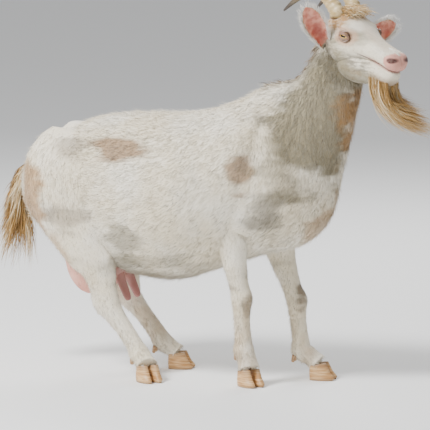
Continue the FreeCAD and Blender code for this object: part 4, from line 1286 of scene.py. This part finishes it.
    def ear_points(self, side: Side) -> tuple[Array, Array, Array]:
        """An ear as a folded leaf.

        Returns:
            Grid points, the share of pink inner skin at each point (highest deep in the hollow, where it
            paints shade), and the way the ear points.
        """
        y = side.value
        foot = np.array([6.0, 52.0 * y, -92.0])
        way = unit(np.array([-0.10, -0.62, 0.78]) if side is Side.RIGHT else np.array([0.18, 0.90, 0.42]))
        face = unit(np.array([0.86, -0.35, -0.10]) if side is Side.RIGHT else np.array([0.80, -0.35, 0.20]))
        face = unit(face - way * (face @ way))
        across = np.cross(way, face)
        reach = np.linspace(0, 1, 40)
        half = hermite([0, 0.15, 0.4, 0.65, 0.85, 0.96, 1.0], [15, 23, 31, 31, 22, 11, 2.5], reach)[:, 0]
        fold = hermite([0, 0.2, 0.5, 1.0], [1.25, 1.1, 0.55, 0.15], reach)[:, 0]
        thick = hermite([0, 0.3, 1.0], [5.5, 2.6, 1.3], reach)[:, 0]
        t = np.linspace(0, 2 * np.pi, 44, endpoint=False)
        u = np.cos(t)[None, :]
        inner = (np.sin(t) > 0)[None, :]
        curl = half[:, None] * fold[:, None] * (u**2 - 0.35)
        skin = thick[:, None] * np.sin(t)[None, :]
        width = half[:, None] * u * (1 - 0.28 * fold[:, None] * u**2)
        bend = -18 * reach**2
        points = foot + (128 * reach)[:, None, None] * way + width[..., None] * across
        points = points + (curl + skin)[..., None] * face + bend[:, None, None] * (face * 0.6)
        # deep peaks in the middle of the hollow and carries the painted shade there
        deep = 0.5 + 0.5 * np.exp(-(((reach[:, None] - 0.38) / 0.24) ** 2) - (u / 0.45) ** 2)
        pink = inner * (
            1 - smooth((np.abs(u) - 0.74) / 0.22)
        ) * smooth((reach[:, None] - 0.02) / 0.05) * deep
        return points, np.broadcast_to(pink, points.shape[:2]), way

    def horn_points(self, side: Side) -> tuple[Array, Array]:
        """A horn's grid and its share of length from root to tip."""
        y = side.value
        foot, tip = np.array([4.0, 30.0 * y, -4.0]), np.array([-168.0, 58.0 * y, -62.0])
        share = np.linspace(0, 1, 96)
        arc = 52 * np.sin(np.pi * share) + 20 * share * (1 - share)
        path = foot + (tip - foot) * share[:, None] + np.array([0, 0, 1.0]) * arc[:, None]
        path[0] += np.array([3, 0, -12.0])
        radius = 2.5 + 18.5 * (1 - share) ** 0.8
        ridge = 1 + 0.045 * np.sin(
            share * 95 - 12 * share**2
        ) * (1 - share) ** 0.5 + 0.02 * np.sin(share * 260)
        return tube(path, radius * 0.84 * ridge, radius * 1.02 * ridge, (0, 1, 0), 40, 2.2), share


@dataclass
class Foot:
    """The four hooves of one foot: two claws and two dewclaws."""

    studio: Studio
    side: Side
    leg: str

    def claw(self, centre: Array, toe: Array, over: Array, hand: int) -> Array:
        """One claw's grid from the sole up, with the inner wall flatter than the outer."""
        share = np.linspace(0, 1, 14)
        t = np.linspace(0, 2 * np.pi, 40, endpoint=False)
        length = hermite([0, 0.06, 0.5, 1.0], [63, 66, 56, 42], share)[:, 0]
        width = hermite([0, 0.06, 0.6, 1.0], [25.5, 27.5, 26.5, 23.5], share)[:, 0]
        back = hermite([0, 0.5, 1.0], [-27.5, -28.5, -26.5], share)[:, 0]
        c, s = rounded(t[None, :], np.full((1, 40), 2.35))
        point = 1 - 0.22 * np.clip(c, 0, 1) ** 2
        inward = np.where(s * hand < 0, 0.86, 1.08)
        x = back[:, None] + length[:, None] / 2 * (1 + c)
        y = width[:, None] / 2 * s * point * inward - hand * 2.2 * np.clip(c, 0, 1) ** 2
        z = share[:, None] * 43 + (share[:, None] ** 2) * 3 * c
        return np.array(
            [centre[0], centre[1], 0.0]
        ) + x[..., None] * toe + y[..., None] * over + z[..., None] * np.array([0, 0, 1.0])

    def build(self, hoof: bpy.types.Material) -> bpy.types.Object:
        """One piece with all four hooves."""
        frame, word = self.studio.frame, self.side.word
        fetlock = frame.joint(f"{word}_{self.leg}_fetlock")
        over = frame.axis(f"{word}_{self.leg}_fetlock")
        toe = np.cross(over, [0, 0, 1.0])
        coffin = coffin_joint(fetlock, toe, PASTERNS[self.leg])
        bud_rows, bud_cols = 7, 16
        points, faces, base = [], [], 0
        for hand in (-1, 1):
            grid = self.claw(coffin + over * (hand * 16), toe, over, hand)
            rows, cols = grid.shape[:2]
            ring = np.arange(cols)
            nxt = (ring + 1) % cols
            points += [grid.reshape(-1, 3), grid[:1].mean(1), grid[-1:].mean(1)]
            faces.append(grid_faces(rows, cols) + base)
            tips = base + rows * cols
            faces.append(np.stack([base + nxt, base + ring, np.full(cols, tips)], -1))
            top = base + (rows - 1) * cols
            faces.append(np.stack([top + ring, top + nxt, np.full(cols, tips + 1)], -1))
            base = tips + 2
            root = fetlock - toe * 19 - np.array([0, 0, 13.0]) + over * (hand * 12)
            share = np.linspace(0, 1, bud_rows)
            path = root + share[:, None] * (-toe * 6 - np.array([0, 0, 18.0]))
            taper = 1 - 0.42 * share**2
            bud = tube(path, 8.2 * taper, 7.0 * taper, over, bud_cols)
            points += [bud.reshape(-1, 3), bud[:1].mean(1), bud[-1:].mean(1) - [[0, 0, 2.0]]]
            faces.append(grid_faces(bud_rows, bud_cols) + base)
            ring = np.arange(bud_cols)
            nxt = (ring + 1) % bud_cols
            tips = base + bud_rows * bud_cols
            top = tips - bud_cols
            faces.append(np.stack([base + nxt, base + ring, np.full(bud_cols, tips)], -1))
            faces.append(np.stack([top + ring, top + nxt, np.full(bud_cols, tips + 1)], -1))
            base = tips + 2
        three = [f for f in faces if f.shape[1] == 3]
        four = [f for f in faces if f.shape[1] == 4]
        name = f"{word}_{self.leg}_hooves"
        return self.studio.mesh(
            name, np.vstack(points), [np.vstack(four), np.vstack(three)], hoof,
            Bend(f"{word}_{self.leg}_foot"),
        )


# ---------------------------------------------------------------- udder, tail and long hair


@dataclass
class Udder:
    """Two halves of bare pink skin, each with its teat."""

    studio: Studio
    middle: float = 29.0
    rows: int = 80
    # height, centre along, half length, half width
    table: tuple = (
        (470, -200, 40, 18),
        (440, -202, 76, 26),
        (405, -206, 98, 34),
        (365, -212, 108, 38),
        (330, -220, 104, 39),
        (295, -228, 92, 38),
        (265, -236, 76, 35),
        (240, -242, 56, 30),
        (222, -247, 34, 22),
        (212, -250, 12, 9),
    )
    # distance along the teat, radius
    teat_table: tuple = (
        (-0.35, 17), (0.0, 15), (0.25, 12.5), (0.6, 11), (0.85, 9.5), (0.97, 6.5), (1.0, 3)
    )
    teat_top: tuple = (-166.0, 30.0, 262.0)
    teat_tip: tuple = (-138.0, 33.0, 199.0)

    def half(self, side: Side) -> Hide:
        """One pouch."""
        t = np.array(self.table, float)
        height, along, long, wide = hermite(np.linspace(0, 1, len(t)), t, np.linspace(0, 1, self.rows)).T
        theta = np.linspace(0, 2 * np.pi, 72, endpoint=False)[None, :]
        c, s = rounded(theta, np.full((self.rows, 1), 2.1))
        x = along[:, None] + long[:, None] * c * (1 + 0.03 * np.sin(3 * theta + height[:, None] / 60))
        y = side.value * self.middle + wide[:, None] * s
        grid = np.stack([x, y, np.broadcast_to(height[:, None], x.shape)], -1)
        return Hide(
            f"{side.word}_udder_skin", grid, Bend("trunk"), np.broadcast_to([-0.3, 0.0, -1.0], grid.shape)
        )

    def teat(self, side: Side) -> Hide:
        """One teat, running up into its pouch."""
        t = np.array(self.teat_table, float)
        share, radius = hermite(np.linspace(0, 1, len(t)), t, np.linspace(0, 1, 40)).T
        hand = np.array([1.0, side.value, 1.0])
        top, tip = np.array(self.teat_top) * hand, np.array(self.teat_tip) * hand
        grid = tube(top + (tip - top) * share[:, None], radius, radius, (0, 1, 0), 32)
        return Hide(
            f"{side.word}_teat_skin", grid, Bend("trunk"), np.broadcast_to([0.3, 0.0, -1.0], grid.shape)
        )


@dataclass
class LongHair:
    """Locks of long hair that hang from a base and follow a swept curve."""

    studio: Studio
    rng: np.random.Generator

    def strands(
        self, name: str, roots: Array, paths: Array, width: Array, material: bpy.types.Material, bend: Bend,
        tone: Array,
    ) -> bpy.types.Object:
        """Flat tapering ribbons.

        Args:
            roots: start of each strand (n, 3).
            paths: offsets from the root along each strand (n, k, 3).
            width: half width at the root of each strand (n,).
            tone: a number per strand from 0 to 1 for its colour.
        """
        n, k = paths.shape[:2]
        line = roots[:, None] + paths
        way = unit(np.gradient(line, axis=1))
        turn = unit(self.rng.normal(size=(n, 1, 3)))
        over = unit(np.cross(way, turn))
        taper = np.array([0.8, 1.0, 1.0, 0.9, 0.75, 0.55, 0.3])[:k][None, :, None]
        left = line - over * width[:, None, None] * taper
        right = line + over * width[:, None, None] * taper
        tip = line[:, -1] + way[:, -1] * np.linalg.norm(
            line[:, -1] - line[:, -2], axis=-1, keepdims=True
        ) * 0.8
        points = np.concatenate([np.stack([left, right], 2).reshape(n, -1, 3), tip[:, None]], 1)
        stride = 2 * k + 1
        base = (np.arange(n) * stride)[:, None]
        quads = [base + np.array([2 * i, 2 * i + 1, 2 * i + 3, 2 * i + 2]) for i in range(k - 1)]
        tri = base + np.array([2 * k - 2, 2 * k - 1, 2 * k])
        tones = np.repeat(tone, stride)
        return self.studio.mesh(
            name, points.reshape(-1, 3), [np.concatenate(quads), tri], material, bend, tones
        )

    def sweep(self, n: int, length: Array, start: Array, end: Array, spread: float, wave: float) -> Array:
        """Curved offsets that leave along start and bend towards end."""
        k = 7
        share = np.linspace(0, 1, k)[None, :, None]
        start = unit(start + self.rng.normal(0, spread, (n, 3)))[:, None]
        end = unit(end + self.rng.normal(0, spread * 0.6, (n, 3)))[:, None]
        path = length[:, None, None] * (start * (share - 0.5 * share**2) + end * 0.5 * share**2)
        side = unit(self.rng.normal(size=(n, 1, 3)))
        phase = self.rng.uniform(0, 2 * np.pi, (n, 1, 1))
        return path + side * wave * share * np.sin(share * 7.0 + phase)


@dataclass
class Hair:
    """All the hair of the goat: short coat, mane, beard, forelock, ear fringe and tail."""

    studio: Studio
    head: HeadFrame
    rng: np.random.Generator
    dense: float = 1.0

    def coat(
        self, hide: Hide, count: int, material: bpy.types.Material, length: tuple, thick: float = 0.75
    ) -> None:
        """Short strands over one hide."""
        n = int(count * self.dense)
        points, normals, flow = hide.sample(n, self.rng)
        size = self.rng.uniform(*length, n) * (0.75 + 0.5 * self.rng.random(n))
        flow = unit(flow + self.rng.normal(0, 0.22, flow.shape))
        width = thick * self.rng.uniform(0.6, 1.25, n)
        lift = self.rng.uniform(0.10, 0.30, n)
        sag = self.rng.normal(0, 0.12, (n, 3)) - normals * 0.10
        tone = self.rng.random(n)
        for index, part in enumerate(np.array_split(np.arange(n), -(-n // STRANDS_A_PIECE))):
            few = (points, normals, flow, size, width, lift, sag)
            mesh_points, faces = strand_mesh(*(values[part] for values in few))
            self.studio.mesh(
                f"{hide.name}_hair_{index + 1}", mesh_points, faces, material, hide.bend,
                np.repeat(tone[part], STRAND_POINTS),
            )

    def mane(self, neck: Hide, throat: Hide, material: bpy.types.Material) -> None:
        """Dark upright tufts along the nape, with paler wisps below them on the sides."""
        for hide, count in ((neck, 5200), (throat, 1700)):
            middle = float(hide.points[..., 1].mean())
            points, normals, flow = hide.sample(int(count * self.dense * 9), self.rng)
            ridge = np.exp(-(((points[:, 1] - middle) / 20) ** 2)) * (
                normals[:, 2] - normals[:, 0] * 0.6 > 0.35
            )
            tuft = 0.5 + 0.5 * np.sin(points[:, 0] * 0.17 + points[:, 2] * 0.13)
            mask = self.rng.random(len(points)) < ridge * (0.05 + 0.45 * tuft**3)
            points, normals, flow = points[mask], normals[mask], flow[mask]
            n = len(points)
            length = self.rng.uniform(12, 30, n) * (0.5 + 0.7 * tuft[mask])
            paths = self.long.sweep(n, length, normals * 0.6 + flow * 0.8, flow + normals * 0.1, 0.25, 1.5)
            tone = np.clip(self.rng.random(n) ** 1.5 * 0.9 + 0.25 * (1 - tuft[mask]), 0, 1)
            self.long.strands(
                f"{hide.name}_mane", points, paths, self.rng.uniform(0.35, 0.75, n), material, hide.bend,
                tone,
            )

    def beard(self, jaw: Hide, material: bpy.types.Material) -> None:
        """A long beard from the chin, cream at the root and ochre at the tips, blown out to the front."""
        local = (jaw.points.reshape(-1, 3) - self.head.POLL) @ self.head.axes.T
        chin = (local[:, 0] > 168) & (local[:, 0] < 224) & (local[:, 2] < -112)
        pool = jaw.points.reshape(-1, 3)[chin]
        n = int(2600 * self.dense)
        pick = self.rng.integers(0, len(pool), n)
        roots = pool[pick] + self.rng.normal(0, 1.4, (n, 3))
        place = local[chin][pick]
        share = (place[:, 0] - 168) / 56
        lock = np.round(self.rng.uniform(0, 15, n))
        length = (130 + 95 * (lock % 4) / 3) * self.rng.uniform(0.72, 1.0, n) * (0.62 + 0.38 * share)
        down = np.array([-0.05, 0.0, -1.0])
        out = np.array([0.93, 0.37, -0.20]) * (
            0.75 + 0.35 * share[:, None]
        ) + np.array([0, 0, -0.5]) * (1 - share[:, None])
        lean = np.stack([np.sin(lock * 2.3), np.cos(lock * 1.7), np.sin(lock * 3.9 + 1)], -1) * 0.13
        paths = self.long.sweep(n, length, np.broadcast_to(down, (n, 3)), out + lean, 0.07, 3.0)
        tone = np.clip(0.18 + 0.55 * ((lock * 7) % 5) / 4 + self.rng.normal(0, 0.12, n), 0, 1)
        self.long.strands(
            "beard_hair", roots, paths, self.rng.uniform(0.35, 0.8, n), material, Bend("jaw"), tone
        )

    def forelock(self, face: Hide, material: bpy.types.Material) -> None:
        """Ochre and white wisps between the horns, falling on the forehead."""
        pool = (face.points.reshape(-1, 3) - self.head.POLL) @ self.head.axes.T
        top = (np.abs(pool[:, 0] - 14) < 30) & (np.abs(pool[:, 1]) < 30) & (pool[:, 2] > -26)
        n = int(1500 * self.dense)
        roots = face.points.reshape(-1, 3)[top][self.rng.integers(0, int(top.sum()), n)]
        roots = roots + self.rng.normal(0, 2.0, (n, 3))
        start, end = self.head.way((0.2, 0.0, 1.0)), self.head.way((1.0, 0.1, -0.15))
        paths = self.long.sweep(n, self.rng.uniform(22, 58, n), start, end, 0.35, 3.0)
        tone = np.clip(self.rng.normal(0.62, 0.25, n), 0, 1)
        self.long.strands(
            "forelock_hair", roots, paths, self.rng.uniform(0.4, 0.9, n), material, Bend("head"), tone
        )

    def fringe(self, side: Side, points: Array, way: Array, material: bpy.types.Material) -> None:
        """White hairs along the rim and inside of an ear."""
        rim = points[4:].reshape(-1, 44, 3)
        n = int(900 * self.dense)
        row = self.rng.integers(0, len(rim), n)
        edge = self.rng.choice([0, 22], n) + self.rng.integers(-3, 4, n)
        roots = rim[row, edge % 44] + self.rng.normal(0, 0.5, (n, 3))
        middle = rim[row].mean(1)
        out = unit(roots - middle)
        paths = self.long.sweep(
            n, self.rng.uniform(9, 24, n), out * 0.4 + way * 0.7, np.broadcast_to(way, (n, 3)), 0.28, 1.0
        )
        body = f"{side.word}_ear_flap"
        self.long.strands(
            f"{side.word}_ear_fringe", roots, paths, self.rng.uniform(0.3, 0.6, n), material, Bend(body),
            0.6 + 0.4 * self.rng.random(n),
        )

    def tail(self, hide: Hide, material: bpy.types.Material) -> None:
        """Long hair hanging from the tail, dark in the middle and cream at the edges."""
        points, normals, flow = hide.sample(int(3000 * self.dense), self.rng)
        n = len(points)
        below = np.clip((hide.points[..., 2].max() - points[:, 2]) / 150, 0, 1)
        side = normals[:, 1]
        length = self.rng.uniform(45, 120, n) * (0.45 + 0.75 * below)
        start, end = normals * 0.55 + flow, np.array([-0.22, 0, -1.0]) + normals * 0.12
        paths = self.long.sweep(n, length, start, end, 0.16, 4.0)
        tone = np.clip(0.35 + 0.5 * np.sin(side * 6 + below * 4) + self.rng.normal(0, 0.2, n), 0, 1)
        self.long.strands(
            "tail_hair", points, paths, self.rng.uniform(0.5, 1.1, n), material, Bend("tail"), tone
        )

    @property
    def long(self) -> LongHair:
        """The maker of long strands."""
        return LongHair(self.studio, self.rng)


class Goat:
    """The whole animal."""

    def __init__(self, frame: Frame, rng: np.random.Generator, dense: float) -> None:
        """Make the finishes.

        Args:
            frame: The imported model's frame.
            rng: Seeded random numbers.
            dense: Share of the full hair count.
        """
        self.frame, self.studio = frame, Studio(frame)
        self.head = HeadFrame(self.studio)
        self.hair = Hair(self.studio, self.head, rng, dense)
        coat = CoatFinish(self.studio, self.head)
        self.skin, self.fur = coat.skin(), coat.hair()
        self.dark = HairFinish(
            "mane_hair", (0.05, 0.035, 0.025), (0.30, 0.20, 0.11), (0.74, 0.66, 0.52)
        ).make()
        self.gold = HairFinish(
            "ochre_hair", (0.20, 0.10, 0.02), (0.56, 0.33, 0.10), (0.90, 0.80, 0.56)
        ).make()
        self.white = HairFinish(
            "white_hair", (0.62, 0.55, 0.45), (0.80, 0.76, 0.68), (0.92, 0.90, 0.86)
        ).make()
        self.horn, self.hoof = HornFinish().make(), HoofFinish().make()
        self.ear_skin = EarFinish(coat).make()
        self.udder_skin = UdderFinish(self.studio).make()
        self.lid = SkinFinish("eyelid_skin", (0.34, 0.20, 0.13), (0.16, 0.085, 0.055), 0.2, 0.45).make()
        self.tongue = SkinFinish("tongue_skin", (0.62, 0.24, 0.22), (0.48, 0.16, 0.16), 0.0, 0.3).make()
        self.bone = BoneFinish().make()

    def trunk_and_legs(self) -> dict[str, Hide]:
        """Torso and four legs with their coat."""
        hides = {h.name: h for h in Torso(self.studio).build()}
        trunk = hides["trunk_hide"]
        both = (trunk, hides["neck_hide"])
        points, flow = (
            np.concatenate([getattr(h, part)[::2, ::2] for h in both]) for part in ("points", "flow")
        )
        base = Hide("base", points, Bend("trunk"), flow)
        for side in Side:
            for limb in (fore_limb(self.studio, side, base), hind_limb(self.studio, side, base)):
                bands = limb.build()
                for index, band in enumerate(bands):
                    band.build(self.studio, self.skin, index == 0, index == len(bands) - 1)
                    hides[band.name] = band
            for leg in PASTERNS:
                Foot(self.studio, side, leg).build(self.hoof)
        for name in ("trunk_hide", "neck_hide", "throat_hide", "poll_hide"):
            hides[name].build(self.studio, self.skin, name == "trunk_hide", name == "poll_hide")
        return hides

    def head_parts(self) -> dict[str, Hide]:
        """Face, jaw, eyes, ears and horns."""
        maker = Head(self.studio, self.head)
        hides = {h.name: h for h in maker.hides()}
        for hide in hides.values():
            hide.build(self.studio, self.skin, True, True)
        for side in Side:
            maker.eye(side, EyeFinish(self.head, side).make(), self.lid)
            points, pink, way = maker.ear_points(side)
            world = self.head.out(points)
            lie = np.broadcast_to(self.head.way(way), world.shape)
            flap = Hide(f"{side.word}_ear_skin", world, Bend(f"{side.word}_ear_flap"), lie)
            flap.build(self.studio, self.ear_skin, True, True, pink)
            hides[flap.name] = flap
            self.hair.fringe(side, world, self.head.way(way), self.white)
            grid, share = maker.horn_points(side)
            horn = Hide(f"{side.word}_horn_shell", self.head.out(grid), Bend("head"), self.head.out(grid))
            horn.build(self.studio, self.horn, True, True, np.broadcast_to(share[:, None], grid.shape[:2]))
        return hides

    def tail_core(self) -> Hide:
        """The fleshy tail under its hair."""
        share = np.linspace(0, 1, 40)
        table = np.array([[0, 22, 12], [0.25, 20, 12], [0.6, 15, 9], [0.9, 9, 6], [1.0, 3, 2.5]])
        across, deep = hermite(table[:, 0], table[:, 1:], share).T
        root = np.array([-436.0, 0.0, 536.0])
        path = root + np.stack([-30 * np.sin(share * 1.9) - 4, 0 * share, 8 - 150 * share**1.15], -1)
        grid = tube(path, across, deep, (0, 1, 0), 40)
        return Hide(
            "tail_skin", grid, Bend("tail"),
            np.broadcast_to(unit(np.gradient(path, axis=0))[:, None], grid.shape),
        )

    def coat(self, hides: dict[str, Hide]) -> None:
        """Short hair over every hide."""
        counts = {
            "trunk_hide": 52000, "neck_hide": 18500, "throat_hide": 3200, "poll_hide": 2200,
            "face_hide": 9000, "jaw_hide": 4000,
        }
        for name, count in counts.items():
            long = (5, 10) if name in ("face_hide", "jaw_hide") else (12, 24)
            self.hair.coat(hides[name], count, self.fur, long, thick=0.5 if long[1] == 10 else 0.8)
        for name, hide in hides.items():
            if name in counts or name.endswith(("skin", "tail")):
                continue
            upper = name.endswith(("shoulder_hide", "thigh_hide"))
            self.hair.coat(
                hide, 5200 if upper else 2300, self.fur, (11, 22) if upper else (6, 13), thick=0.75
            )

    def build(self) -> None:
        """Every piece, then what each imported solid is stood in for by."""
        hides = self.trunk_and_legs()
        hides.update(self.head_parts())
        tail = self.tail_core()
        tail.build(self.studio, self.skin, True, True)
        self.hair.tail(tail, self.gold)
        for side in Side:
            udder = Udder(self.studio)
            udder.half(side).build(self.studio, self.udder_skin, True, True)
            udder.teat(side).build(self.studio, self.udder_skin, True, True)
        self.hair.mane(hides["neck_hide"], hides["throat_hide"], self.dark)
        self.hair.beard(hides["jaw_hide"], self.gold)
        self.hair.forelock(hides["face_hide"], self.gold)
        self.coat(hides)
        self.stand_in()
        log.info("whole animal: %d triangles", self.studio.count)

    def stand_in(self) -> None:
        """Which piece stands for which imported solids; the bones, teeth and tongue stay as they are."""
        swaps = {
            "trunk_hide": ["barrel"],
            "neck_hide": ["neck_muscle"],
            "face_hide": ["face_flesh"],
            "jaw_hide": ["chin_and_lip"],
            "beard_hair": ["beard"],
            "tail_hair": ["tail_tuft"],
            "right_udder_skin": ["udder"],
            "left_udder_skin": ["udder"],
        }
        pairs = {
            "ear_skin": "ear",
            "eyeball": "eye",
            "horn_shell": "horn",
            "shoulder_hide": "upper_arm_muscle",
            "elbow_hide": "forearm_muscle",
            "knee_hide": "fore_cannon_sleeve",
            "fore_fetlock_hide": "fore_pastern_sleeve",
            "fore_hooves": "fore_claws",
            "thigh_hide": "thigh_muscle",
            "gaskin_hide": "gaskin_muscle",
            "hock_hide": "hind_cannon_sleeve",
            "hind_fetlock_hide": "hind_pastern_sleeve",
            "hind_hooves": "hind_claws",
        }
        for side in Side:
            swaps.update({f"{side.word}_{piece}": [f"{side.word}_{node}"] for piece, node in pairs.items()})
        for piece, nodes in swaps.items():
            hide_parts(*nodes)
        gone = {node for nodes in swaps.values() for node in nodes}
        for name, node in self.frame.data["nodes"].items():
            if name not in gone:
                node.data.materials.clear()
                node.data.materials.append(self.tongue if name == "tongue" else self.bone)


@dataclass(frozen=True)
class Lamp:
    """A soft area light."""

    name: str
    place: Sequence[float]
    power: float
    size: float

    def hang(self, target: Vector) -> None:
        """Put it up, facing the target."""
        data = bpy.data.lights.new(self.name, "AREA")
        data.energy, data.size = self.power, self.size
        lamp = bpy.data.objects.new(self.name, data)
        lamp.location = self.place
        lamp.rotation_euler = (target - lamp.location).to_track_quat("-Z", "Y").to_euler()
        bpy.context.scene.collection.objects.link(lamp)


class Set:
    """Floor, lights and camera."""

    LOOK = (0.371, -0.918, 0.139)
    DISTANCE = 12000.0
    TARGET = (83.1, 33.6, 431.8)
    LENS = 377.7
    LAMPS = (
        Lamp("key", (-1.7, -2.5, 3.6), 330, 1.2),
        Lamp("rim", (-0.6, 3.0, 2.8), 90, 1.8),
    )

    def __init__(self, frame: Frame) -> None:
        """Keep the frame."""
        self.frame = frame

    def build(self) -> None:
        """Set it all up."""
        target = Vector(self.frame.metres(np.array(self.TARGET)))
        for lamp in self.LAMPS:
            lamp.hang(target)
        self.floor()
        self.sky()
        self.camera(target)

    def floor(self) -> None:
        """A plain pale floor."""
        data = bpy.data.meshes.new("floor")
        half = 200.0
        data.from_pydata(
            [(-half, -half, 0), (half, -half, 0), (half, half, 0), (-half, half, 0)], [], [(0, 1, 2, 3)]
        )
        data.materials.append(Net("floor").finish((0.93, 0.93, 0.92), 0.95))
        floor = bpy.data.objects.new("floor", data)
        bpy.context.scene.collection.objects.link(floor)

    def sky(self) -> None:
        """Even pale surroundings."""
        world = bpy.data.worlds.new("sky")
        world.use_nodes = True
        back = world.node_tree.nodes["Background"]
        back.inputs[0].default_value = (0.97, 0.98, 1.0, 1)
        back.inputs[1].default_value = 0.55
        bpy.context.scene.world = world

    def camera(self, target: Vector) -> None:
        """A long lens from the right side, a little ahead and above."""
        data = bpy.data.cameras.new("camera")
        data.lens, data.sensor_width = self.LENS, 36.0
        data.clip_end = 600.0
        camera = bpy.data.objects.new("camera", data)
        camera.location = target + Vector(self.LOOK) * (self.DISTANCE / 1000)
        camera.rotation_euler = (target - camera.location).to_track_quat("-Z", "Y").to_euler()
        bpy.context.scene.collection.objects.link(camera)
        bpy.context.scene.camera = camera


def main() -> None:
    """Build the goat and its set."""
    logging.basicConfig(level=logging.INFO, format="%(message)s")
    frame = Frame()
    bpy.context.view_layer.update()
    goat = Goat(frame, np.random.default_rng(SEED), 1.0)
    goat.build()
    Set(frame).build()


if __name__ == "__main__":
    main()
